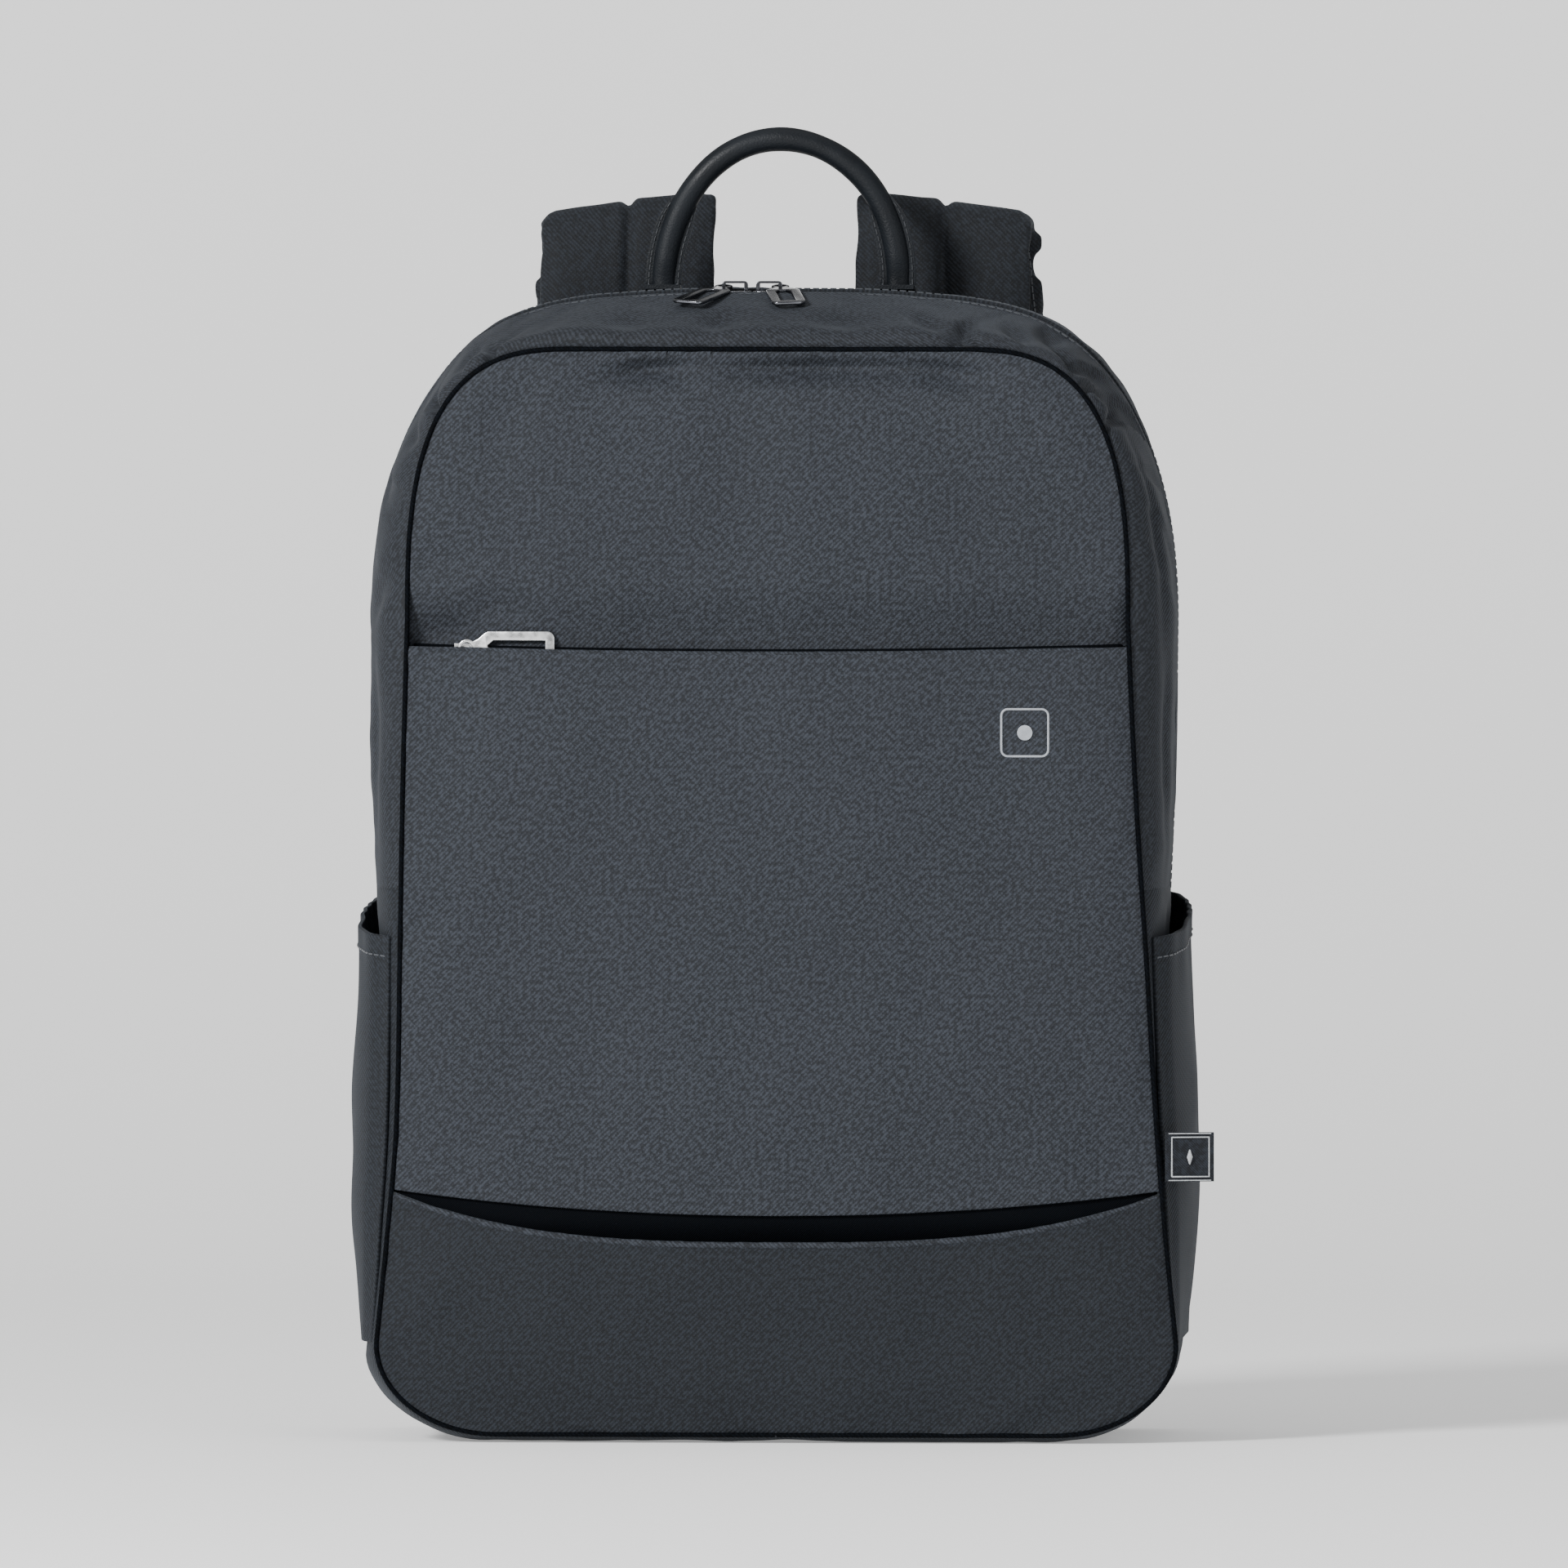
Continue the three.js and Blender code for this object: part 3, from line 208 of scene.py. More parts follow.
# Soft dents of the front panels: share across, height, half sizes and depth in millimetres
DENTS = table(
    "s z wide tall sink",
    (-0.42, 392, 0.13, 5, 6),
    (0.16, 393, 0.3, 5, 6),
    (0.62, 391, 0.14, 6, 5),
    (-0.78, 372, 0.08, 20, 1.6),
    (-0.93, 322, 0.09, 8, 1.8),
    (-0.9, 296, 0.1, 7, 3.8),
    (-0.76, 306, 0.1, 8, 2.8),
    (0.82, 312, 0.1, 22, 1.2),
    (0.3, 330, 0.35, 22, -1.2),
    (-0.35, 345, 0.3, 20, -1.0),
    (-0.94, 192, 0.08, 7, 2),
    (-0.8, 178, 0.12, 12, 1.2),
    (-0.6, 150, 0.25, 60, 1.4),
    (0.62, 215, 0.2, 70, 1.3),
    (0.05, 120, 0.4, 40, -1.2),
    (0.86, 100, 0.1, 22, 1.6),
    (-0.86, 96, 0.1, 24, 1.4),
    (0.1, 38, 0.55, 26, 1.6),
    (-0.88, 52, 0.07, 16, -1.2),
)

# Path of a strap from its root over the fold and down the back, as shares of the strap's sizes
STRAP_ROWS = table(
    "place back up out width thick",
    (0, 0, 0, 0, 1, 0.75),
    (1, 0.01, 0.3, 0, 1, 0.95),
    (2, 0.06, 0.66, 0, 1, 1),
    (3, 0.2, 0.92, 0, 1, 1),
    (4, 0.42, 1, 0.01, 1, 1),
    (5, 0.66, 0.9, 0.03, 1, 1),
    (6, 0.82, 0.6, 0.07, 1, 1),
    (7, 0.92, 0.1, 0.15, 1, 1),
    (8, 1, -0.6, 0.3, 0.99, 1),
    (9, 1, -1.35, 0.52, 0.96, 1),
    (10, 0.9, -2.1, 0.75, 0.9, 0.95),
    (11, 0.75, -2.8, 0.92, 0.78, 0.85),
    (12, 0.62, -3.3, 0.98, 0.62, 0.7),
    (13, 0.59, -3.53, 1, 0.5, 0.45),
)

# Straps, in millimetres: root, top of the fold and foot, and how far they go back and outwards
STRAP_ROOT_ACROSS = 58
STRAP_ROOT_HEIGHT = 388
STRAP_TOP = 455
STRAP_FOOT_HEIGHT = 152
STRAP_BACK_LOW = 46
STRAP_BACK_HIGH = 34
STRAP_OUT = 38
STRAP_LEAN_DEGREES = 7

# How much wider and thinner a pad starts, because it draws in as it swells
STRAP_EASE = 1.4
STRAP_PRESS = 0.7

# Seams pressed into a strap: place across as a share, width as a share and depth in millimetres
STRAP_SEAMS = table(
    "across wide deep",
    (0, 0.055, 2.1),
    (0.86, 0.04, 0.5),
)

# Ripples of the wall: height in millimetres, waves round the outline, waves in depth, and a seed
WALL_RIPPLES = table(
    "high across along seed",
    (0.5, 62, 7, 7),
    (1.3, 17, 3, 2),
)

# Gathers at the shoulders, and puckers and creases of the front; sizes in millimetres, places as shares
GATHER_DEPTH = 2.6
GATHER_PLACE = 0.25
GATHER_WIDTH = 0.09
PUCKER_HEIGHT = 0.5
PUCKER_REACH = 8
CREASE_HEIGHT = 0.9
CREASE_WIDTH = 0.12

# Pulls, in millimetres
PULL = {"length": 35.6, "width": 12.4, "bar": 3.4, "eye": 3.3, "hole": 2.1}
PULL_THICKNESS = 1.3
PULL_BEVEL = 0.35
PULL_TILT_DEGREES = 10

# Handle: sway and fullness of its middle line, and reach of the flat edges beside its legs
HANDLE_SWAY = 0.02
HANDLE_ARCH_POWER = 0.96
FLANGE_REACH = 3.2

# Stage: lengths in metres; whiteness and glow are plain numbers
STAGE_HALF = 3.0
SWEEP_START = 1.2
SWEEP_RADIUS = 1.2
STAGE_WHITE = 0.92
STAGE_GLOW = 0.3
LIGHT_AIM_HEIGHT = 0.22

# Shares round the right half of the outline where each zone ends
FLOOR_END = 0.16
LOW_END = 0.26
SIDE_END = 0.62
HIGH_END = 0.88


def clamp(value, low=0.0, high=1.0):
    return max(low, min(high, value))


def lerp(a, b, t):
    return a + (b - a) * t


def smooth(value, low, high):
    t = clamp((value - low) / (high - low))
    return t * t * (3 - 2 * t)


def bell(value, middle, width):
    """A soft bump of height 1 at the middle."""
    return math.exp(-((value - middle) / width) ** 2)


def relief(x, y, z):
    """Smooth noise from -1 to 1."""
    return noise.noise(Vector((x, y, z)))


def shares(steps):
    """Even shares from 0 to 1."""
    return [i / steps for i in range(steps + 1)]


def box_corners(name):
    """The low and the high corner of a node's box in the frame."""
    return tuple(Vector(corner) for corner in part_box(name))


def read(rows, key, place, name):
    """A column of a table, read smoothly at any place along its first column."""
    i = 0
    while i < len(rows) - 2 and place > rows[i + 1][key]:
        i += 1
    a, b = rows[i], rows[i + 1]
    before, after = rows[max(i - 1, 0)], rows[min(i + 2, len(rows) - 1)]
    span = b[key] - a[key]
    t = clamp((place - a[key]) / span)
    leave = (b[name] - before[name]) / (b[key] - before[key]) * span
    arrive = (after[name] - a[name]) / (after[key] - a[key]) * span
    bend = t * (1 - t) * (leave * (1 - t) - arrive * t)
    return lerp(a[name], b[name], t * t * (3 - 2 * t)) + bend


class BagShape:
    """The bag's surfaces in millimetres round its own middle. They follow the CAD walls."""

    def __init__(self, sizes):
        self.height = sizes.body_height / MM
        self.half_width = sizes.body_half_width / MM
        self.depth_low = sizes.depth_low / MM
        self.depth_top = sizes.depth_top / MM
        self.pocket_bulge = sizes.pocket_bulge / MM
        self.seam_top = self.height - TOP_ROLL

    def depth_at(self, z):
        return lerp(self.depth_low, self.depth_top, z / self.height)

    def side_share(self, z):
        return clamp((z - LOW_CORNER_TOP) / (HIGH_CORNER_BASE - LOW_CORNER_TOP))

    def half_at(self, z, roll):
        full = read(SIDE_ROWS, "height", self.side_share(z), "full")
        seam = read(SIDE_ROWS, "height", self.side_share(z), "seam")
        return self.half_width * lerp(full, seam, roll)

    def shift_at(self, z):
        return SEAM_SHIFT * read(SIDE_ROWS, "height", self.side_share(z), "shift")

    def wall(self, around, depth):
        """The wall's outer surface, from the floor's middle (0) over the top (1) to 2."""
        left = around < 0 or around > 1
        g = -around if around < 0 else (2 - around if around > 1 else around)
        share = clamp(depth)
        roll = read(WALL_ROWS, "depth", share, "side")
        crest = self.height - TOP_ROLL * read(WALL_ROWS, "depth", share, "top")
        base = FLOOR_ROLL * max(read(WALL_ROWS, "depth", share, "floor"), 0)
        high_width = lerp(HIGH_CORNER_WIDTH, SEAM_CORNER_WIDTH, roll)
        power = lerp(HIGH_CORNER_POWER, SEAM_CORNER_POWER, roll)
        if g <= FLOOR_END:
            x, z = (self.half_at(base, roll) - LOW_CORNER_WIDTH) * g / FLOOR_END, base
        elif g <= LOW_END:
            turn = (g - FLOOR_END) / (LOW_END - FLOOR_END) * math.pi / 2
            x = self.half_at(base, roll) - LOW_CORNER_WIDTH * (1 - math.sin(turn))
            z = base + (LOW_CORNER_TOP - base) * (1 - math.cos(turn))
        elif g <= SIDE_END:
            z = lerp(LOW_CORNER_TOP, HIGH_CORNER_BASE, (g - LOW_END) / (SIDE_END - LOW_END))
            x = self.half_at(z, roll)
        elif g <= HIGH_END:
            turn = (g - SIDE_END) / (HIGH_END - SIDE_END) * math.pi / 2
            shoulder = max(math.cos(turn), 0) ** (2 / power)
            x = self.half_at(HIGH_CORNER_BASE, roll) - high_width * (1 - shoulder)
            z = HIGH_CORNER_BASE + (crest - HIGH_CORNER_BASE) * math.sin(turn) ** (2 / power)
        else:
            t = (g - HIGH_END) / (1 - HIGH_END)
            x, z = (self.half_at(HIGH_CORNER_BASE, roll) - high_width) * (1 - t), crest
        shift = self.shift_at(z) * max(roll, 0) if share < ZIP_PLACE else 0
        return Vector(((-x if left else x) + shift, lerp(-1, 1, share) * self.depth_at(z) / 2, z))

    def outward(self, surface, a, b):
        """The normal of a surface of two parameters, turned away from the bag's middle."""
        step_a, step_b = 0.003, 0.004
        along_a = surface(a + step_a, b) - surface(a - step_a, b)
        along_b = surface(a, b + step_b) - surface(a, b - step_b)
        normal = along_a.cross(along_b).normalized()
        away = surface(a, b) - Vector((0, 0, self.height / 2))
        return -normal if normal.dot(away) < 0 else normal

    def fold_sink(self, around, depth):
        sink = 0
        for fold in FOLDS:
            place = fold["round"] + fold["lean"] * (depth - fold["depth"])
            far = ((around - place) / fold["long"]) ** 2 + ((depth - fold["depth"]) / fold["wide"]) ** 2
            sink += fold["sink"] * math.exp(-far)
        return FOLD_SINK * sink

    def wall_out(self, around, depth, out=0.0, folded=True):
        place = clamp(depth, 0.004, 0.996)
        normal = self.outward(self.wall, around, place)
        sink = self.fold_sink(around, depth) if folded else 0
        return self.wall(around, depth) + normal * (out - sink)

    def seam_roll(self, around, depth):
        """How far the wall rolls forward over the front seam, full along the top."""
        over = 1 - smooth(abs(around - 1), 0.16, 0.36)
        uneven = 1 + 0.5 * relief(around * 22, 0, 6)
        return over * uneven * bell(depth, SEAM_ROLL_DEPTH, SEAM_ROLL_DEPTH) * smooth(depth, 0, 0.02)

    def around_at(self, z):
        return lerp(LOW_END, SIDE_END, (z - LOW_CORNER_TOP) / (HIGH_CORNER_BASE - LOW_CORNER_TOP))

    def seam_half(self, z, inset):
        """Half width of the front seam's outline at a height, drawn in by a distance."""
        top = self.seam_top - inset
        base = FLOOR_ROLL + inset
        half = self.half_at(z, 1) - inset
        if z > HIGH_CORNER_BASE:
            width = SEAM_CORNER_WIDTH - inset
            up = clamp((z - HIGH_CORNER_BASE) / (top - HIGH_CORNER_BASE))
            return half - width + width * (1 - up ** SEAM_CORNER_POWER) ** (1 / SEAM_CORNER_POWER)
        if z < LOW_CORNER_TOP:
            width = LOW_CORNER_WIDTH - inset
            down = clamp((LOW_CORNER_TOP - z) / (LOW_CORNER_TOP - base))
            return half - width + width * math.sqrt(1 - down * down)
        return half

    def front(self, s, z, back=0.0):
        """The front panels' surface at a share across (-1 to 1) and a height."""
        low = FLOOR_ROLL + PANEL_INSET
        high = self.seam_top - PANEL_INSET
        share = clamp((z - low) / (high - low))
        arch = 0.5 * (1 - abs(s) ** 9) + 0.5 * (1 - s * s)
        swell = FRONT_CROWN * arch * max(read(CROWN_ROWS, "height", share, "swell"), 0)
        x = s * self.seam_half(z, PANEL_INSET) + self.shift_at(z)
        return Vector((x, -self.depth_at(z) / 2 - swell + back, z))

    def front_dressed(self, s, z, back=0.0):
        """The front surface with its dents, puckers and unevenness."""
        point = self.front(s, z, back)
        sink = 0
        for dent in DENTS:
            far = ((s - dent["s"]) / dent["wide"]) ** 2 + ((z - dent["z"]) / dent["tall"]) ** 2
            sink += dent["sink"] * math.exp(-far)
        edge = min((1 - abs(s)) * self.half_width, self.seam_top - z)
        pucker = PUCKER_HEIGHT * math.exp(-edge / PUCKER_REACH) * relief(s * 16, z / 9, 3)
        broad = 1.7 * relief(s * 2.4, z / 60, 1) + 0.75 * relief(s * 6, z / 26, 5)
        crease = relief(s * 3.4 + z / 90, z / 34 - s, 8)
        broad += CREASE_HEIGHT * bell(crease, 0, CREASE_WIDTH) * relief(s * 2, z / 70, 6)
        fade = smooth(edge, 0, 7)
        point.y += sink * fade + pucker + broad * fade
        return point

    def slit(self, s):
        return SLIT_HEIGHT - SLIT_SAG * (1 - s * s)

    def smile(self, s):
        return SMILE_TOP + SMILE_TOP_RISE * s * s

    def hem(self, s):
        return HEM_HEIGHT + HEM_RISE * abs(s) ** 3


def placed(point):
    """A point of the bag, in metres in the frame."""
    return Vector((point.x * MM + MIDDLE_X, point.y * MM + MIDDLE_Y, point.z * MM))


# Meshes


def new_piece(name, bm, material, sharp=35):
    """An object at the origin from a bmesh, smooth but for its sharp edges."""
    mesh = bpy.data.meshes.new(name)
    bm.to_mesh(mesh)
    bm.free()
    for polygon in mesh.polygons:
        polygon.use_smooth = True
    mesh.set_sharp_from_angle(angle=math.radians(sharp))
    mesh.materials.append(material)
    obj = bpy.data.objects.new(name, mesh)
    bpy.context.scene.collection.objects.link(obj)
    return obj


def declare(obj, slot, *nodes, body="root"):
    """Says which body a piece rides and which CAD nodes it replaces, which it hides. Its material slot is not
    used.
    """
    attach(obj, body)
    if nodes:
        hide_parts(*nodes)
    return obj


def run_lengths(spots):
    """Distances in metres along a line of points in millimetres."""
    runs = [0.0]
    for before, after in zip(spots, spots[1:]):
        runs.append(runs[-1] + (after - before).length * MM)
    return runs


def mapped_grid(surface, columns, rows, facing=False):
    """A grid whose corners are moved onto a surface of two shares.

    Its UVs are in metres: along the surface's own middle lines, or as seen from the front.
    """
    bm = bmesh.new()
    uv = bm.loops.layers.uv.new("UVMap")
    bmesh.ops.create_grid(bm, x_segments=columns, y_segments=rows, size=0.5)
    across = run_lengths([surface(share, 0.5) for share in shares(columns)])
    along = run_lengths([surface(0.5, share) for share in shares(rows)])
    for face in bm.faces:
        for loop in face.loops:
            i = round((loop.vert.co.x + 0.5) * columns)
            j = round((loop.vert.co.y + 0.5) * rows)
            loop[uv].uv = (across[i], along[j])
    for vert in bm.verts:
        vert.co = placed(surface(clamp(vert.co.x + 0.5), clamp(vert.co.y + 0.5)))
    if facing:
        for face in bm.faces:
            for loop in face.loops:
                loop[uv].uv = (loop.vert.co.x, loop.vert.co.z)
    return bm


def turn_out(bm, inside):
    """Turns an open sheet's faces away from a point."""
    bmesh.ops.recalc_face_normals(bm, faces=bm.faces)
    bm.faces.ensure_lookup_table()
    total = sum((f.normal.dot(f.calc_center_median() - inside)) * f.calc_area() for f in bm.faces)
    if total < 0:
        bmesh.ops.reverse_faces(bm, faces=bm.faces)


BAG_MIDDLE = Vector((MIDDLE_X, MIDDLE_Y, 0.2))


def cloth_piece(
        name, surface, columns, rows, material, thickness=CLOTH, rim=0.45, inside=BAG_MIDDLE, facing=False):
    """A sheet of cloth with a real thickness inwards and a rounded rim."""
    bm = mapped_grid(surface, columns, rows, facing)
    turn_out(bm, inside)
    obj = new_piece(name, bm, material, sharp=180)
    wall = obj.modifiers.new("wall", "SOLIDIFY")
    wall.thickness = thickness * MM
    wall.offset = -1
    wall.use_even_offset = False
    round_edges(obj, "rim", rim * MM, 50)
    return obj


def round_edges(obj, name, width, degrees=30):
    """A small bevel on the edges sharper than an angle."""
    edge = obj.modifiers.new(name, "BEVEL")
    edge.width = width
    edge.segments = 2
    edge.limit_method = "ANGLE"
    edge.angle_limit = math.radians(degrees)


def closed_piece(name, skin, columns, rows, material, sharp):
    """A skin that closes round its second share, with both ends filled."""
    bm = mapped_grid(skin, columns, rows)
    bmesh.ops.remove_doubles(bm, verts=bm.verts, dist=1e-5)
    bmesh.ops.holes_fill(bm, edges=bm.edges, sides=0)
    bmesh.ops.recalc_face_normals(bm, faces=bm.faces)
    return new_piece(name, bm, material, sharp)


def dress_node(name, material):
    """Gives a CAD node that is left as it is its material."""
    materials = frame["nodes"][name].data.materials
    materials.clear()
    materials.append(look(material))


def tube_along(name, points, radius, material, sides=3, radii=None, cyclic=False):
    """A round tube through points in metres, made from a curve and kept as a mesh."""
    curve = bpy.data.curves.new(name, "CURVE")
    curve.dimensions = "3D"
    curve.bevel_depth = radius
    curve.bevel_resolution = sides
    curve.use_fill_caps = not cyclic
    spline = curve.splines.new("POLY")
    spline.points.add(len(points) - 1)
    for i, (spot, point) in enumerate(zip(spline.points, points)):
        spot.co = (*point, 1)
        spot.radius = radii[i] if radii else 1
    spline.use_cyclic_u = cyclic
    spline.use_smooth = True
    return curve_to_piece(name, curve, material)


def curve_to_piece(name, curve, material, matrix=None):
    holder = bpy.data.objects.new(name + "_curve", curve)
    bpy.context.scene.collection.objects.link(holder)
    mesh = bpy.data.meshes.new_from_object(holder)
    bpy.data.objects.remove(holder)
    bpy.data.curves.remove(curve)
    bm = bmesh.new()
    bm.from_mesh(mesh)
    bpy.data.meshes.remove(mesh)
    bmesh.ops.remove_doubles(bm, verts=bm.verts, dist=1e-6)
    if matrix is not None:
        bmesh.ops.transform(bm, matrix=matrix, verts=bm.verts)
    bmesh.ops.recalc_face_normals(bm, faces=bm.faces)
    return new_piece(name, bm, material, 40)


def plate(name, outlines, thickness, bevel, material, matrix):
    """A flat plate with round edges from closed outlines in millimetres; inner ones are holes."""
    curve = bpy.data.curves.new(name, "CURVE")
    curve.dimensions = "2D"
    curve.fill_mode = "BOTH"
    curve.extrude = (thickness / 2 - bevel) * MM
    curve.bevel_depth = bevel * MM
    curve.bevel_resolution = 2
    curve.offset = -bevel * MM
    for outline in outlines:
        spline = curve.splines.new("POLY")
        spline.points.add(len(outline) - 1)
        for spot, (x, y) in zip(spline.points, outline):
            spot.co = (x * MM, y * MM, 0, 1)
        spline.use_cyclic_u = True
    return curve_to_piece(name, curve, material, matrix)


def arc(centre, radius, start, end, steps):
    """Points on an arc, angles in degrees."""
    turns = [math.radians(lerp(start, end, share)) for share in shares(steps)]
    return [(centre[0] + radius * math.cos(t), centre[1] + radius * math.sin(t)) for t in turns]


def stitch_line(name, points, material, normal_at, length=2.3, gap=0.9, radius=0.27, lift=0.1):
    """A row of short thread stitches along points in metres, half sunk into the cloth."""
    bm = bmesh.new()
    run = 0.0
    pitch = (length + gap) * MM
    places = []
    for start, end in zip(points, points[1:]):
        span = (end - start).length
        while run <= span:
            places.append((start.lerp(end, run / span), (end - start).normalized()))
            run += pitch
        run -= span
    for place, along in places:
        normal = normal_at(place)
        sideways = normal.cross(along).normalized()
        basis = Matrix((sideways, along.cross(sideways), along)).transposed().to_4x4()
        spot = Matrix.Translation(place + normal * lift * MM) @ basis
        bmesh.ops.create_cone(
            bm, cap_ends=True, cap_tris=False, segments=6,
            radius1=radius * MM, radius2=radius * MM, depth=length * MM, matrix=spot)
    return new_piece(name, bm, material, sharp=60)


def join_pieces(name, pieces):
    """One piece from several finished ones, with their modifiers kept out."""
    bm = bmesh.new()
    for piece in pieces:
        bm.from_mesh(piece.data)
    material = pieces[0].data.materials[0]
    for piece in pieces:
        bpy.data.objects.remove(piece)
    return new_piece(name, bm, material, sharp=50)


# Materials


# Painted shade of the front band: the front panels' cloth darkened by this share where the band turns
# sideways and up, away from the frontal light
BAND_PAINTED_SHADE = 0.74

# Range that most values of a noise lie in
NOISE_LOW = 0.3
NOISE_HIGH = 0.7

# Length in metres of a wave at scale 1
WAVE_LENGTH = 0.31416

# Fineness of the noises, in cells for each metre
SLUB_SCALE = 620
CLOTH_TONE_SCALE = 14
PEBBLE_SCALE = 1400.0


class Finish:
    """A material whose nodes are added one after another."""

    def __init__(self, name, roughness=0.8, metallic=0.0, **sockets):
        self.material = bpy.data.materials.new(name)
        self.material.use_nodes = True
        self.nodes = self.material.node_tree.nodes
        self.links = self.material.node_tree.links
        self.shader = self.nodes["Principled BSDF"]
        self.shader.inputs["Roughness"].default_value = roughness
        self.shader.inputs["Metallic"].default_value = metallic
        for socket, value in sockets.items():
            self.shader.inputs[socket.replace("_", " ")].default_value = value

    def add(self, kind, inputs=(), **settings):
        node = self.nodes.new(kind)
        for key, value in settings.items():
            setattr(node, key, value)
        for socket, value in dict(inputs).items():
            if isinstance(value, bpy.types.NodeSocket):
                self.links.new(value, node.inputs[socket])
            else:
                node.inputs[socket].default_value = value
        return node

    def coords(self, kind, turn=0.0, upright=False):
        source = self.add("ShaderNodeTexCoord").outputs[kind]
        rotation = (0, turn, 0) if upright else (0, 0, turn)
        place = self.add("ShaderNodeMapping", {"Vector": source, "Rotation": rotation})
        return place.outputs["Vector"]

    def noise(self, vector, scale, detail=2.0, roughness=0.5):
        node = self.add("ShaderNodeTexNoise", {
            "Vector": vector, "Scale": scale, "Detail": detail, "Roughness": roughness})
        return node.outputs["Fac"]

    def wave(self, vector, pitch, direction="X", distortion=0.0):
        """Waves of a pitch in metres."""
        node = self.add(
            "ShaderNodeTexWave", {"Vector": vector, "Scale": WAVE_LENGTH / pitch, "Distortion": distortion,
                                  "Detail": 1.0, "Detail Scale": 2.0},
            bands_direction=direction, wave_profile="SIN")
        return node.outputs["Fac"]

    def math(self, operation, a, b):
        return self.add("ShaderNodeMath", {0: a, 1: b}, operation=operation).outputs[0]

    def map(self, value, low, high, out_low, out_high):
        node = self.add("ShaderNodeMapRange", {
            "Value": value, "From Min": low, "From Max": high, "To Min": out_low, "To Max": out_high})
        return node.outputs["Result"]

    def spread(self, value, low, high):
        """The middle range of a noise, spread between two values."""
        return self.map(value, NOISE_LOW, NOISE_HIGH, low, high)

    def toned(self, colour, value, dark, light, high=NOISE_HIGH):
        """The base colour between a darker and a lighter share of a colour, by a noise."""
        self.colour(self.ramp(value, tinted(colour, dark), tinted(colour, light), NOISE_LOW, high))

    def shaded(self, colour, shade):
        """The base colour times a shade from a half to one and a half."""
        share = self.map(shade, 0.5, 1.5, 0, 1)
        self.colour(self.ramp(share, tinted(colour, 0.5), tinted(colour, 1.5), 0, 1))

    def ramp(self, value, dark, light, low, high):
        node = self.add("ShaderNodeValToRGB", {"Fac": value})
        node.color_ramp.elements[0].position = low
        node.color_ramp.elements[0].color = (*dark, 1)
        node.color_ramp.elements[1].position = high
        node.color_ramp.elements[1].color = (*light, 1)
        return node.outputs["Color"]

    def bump(self, height, strength, distance):
        node = self.add("ShaderNodeBump", {"Height": height, "Strength": strength, "Distance": distance})
        self.links.new(node.outputs["Normal"], self.shader.inputs["Normal"])

    def colour(self, socket):
        self.links.new(socket, self.shader.inputs["Base Color"])

    def roughness(self, socket):
        self.links.new(socket, self.shader.inputs["Roughness"])


def tinted(colour, share):
    return tuple(channel * share for channel in colour)


def woven(name, colour, coords="UV", pitch=1.25, speckle=0.95, sheen=0.05, gloss=0.25):
    """Fine woven polyester: a diagonal twill, uneven threads and slow changes of tone."""
    finish = Finish(name, roughness=0.82, Sheen_Weight=sheen, Sheen_Roughness=0.5, Specular_IOR_Level=gloss)
    finish.shader.inputs["Sheen Tint"].default_value = (0.75, 0.85, 1, 1)
    vector = finish.coords(coords)
    upright = coords == "Object"
    turned = finish.coords(coords, turn=math.radians(45), upright=upright)
    thread_pitch = pitch * MM
    twill = finish.wave(turned, thread_pitch, "X", 0.6)
    cross = finish.wave(turned, thread_pitch * 0.8, "Z" if upright else "Y", 0.6)
    weave = finish.math("MULTIPLY", twill, finish.map(cross, 0, 1, 0.55, 1))
    slub = finish.noise(vector, SLUB_SCALE, 2, 0.6)
    tone = finish.noise(finish.coords("Object"), CLOTH_TONE_SCALE, 3, 0.55)
    uneven = finish.spread(slub, 1 - speckle, 1 + speckle)
    mixed = finish.math("MULTIPLY", uneven, finish.map(weave, 0, 1, 0.54, 1.46))
    finish.shaded(colour, finish.math("MULTIPLY", mixed, finish.spread(tone, 0.93, 1.07)))
    finish.roughness(finish.spread(slub, 0.72, 0.84))
    height = finish.math("ADD", weave, finish.math("MULTIPLY", slub, 0.5))
    finish.bump(height, strength=0.55, distance=0.0003)
    return finish.material


def leather(name, colour):
    finish = Finish(name, roughness=0.55, Specular_IOR_Level=0.22)
    vector = finish.coords("Object")
    pebbles = finish.add("ShaderNodeTexVoronoi", {"Vector": vector, "Scale": PEBBLE_SCALE}, feature="F1")
    tone = finish.noise(vector, 60, 3)
    finish.toned(colour, tone, 0.75, 1.3)
    finish.roughness(finish.spread(tone, 0.42, 0.6))
    finish.bump(finish.map(pebbles.outputs["Distance"], 0, 0.7, 0, 1), strength=0.4, distance=0.00015)
    return finish.material


def ribbed(name, colour, pitch):
    """Woven tape with ribs across its run."""
    finish = Finish(name, roughness=0.7, Sheen_Weight=0.2)
    vector = finish.coords("UV")
    ribs = finish.wave(vector, pitch * MM)
    fine = finish.noise(vector, 1600, 1)
    grooves = finish.map(ribs, 0, 1, 0.75, 1.2)
    finish.shaded(colour, finish.math("MULTIPLY", grooves, finish.spread(fine, 0.85, 1.15)))
    finish.bump(finish.math("ADD", ribs, fine), strength=0.6, distance=0.00025)
    return finish.material


def metal(name, colour, roughness):
    finish = Finish(name, roughness=roughness, metallic=1.0)
    vector = finish.coords("Object")
    wear = finish.noise(vector, 260, 4, 0.6)
    finish.toned(colour, wear, 0.82, 1.08, 0.75)
    finish.roughness(finish.spread(wear, roughness * 0.8, roughness * 1.5))
    finish.bump(finish.noise(vector, 500, 3), strength=0.15, distance=0.00005)
    return finish.material


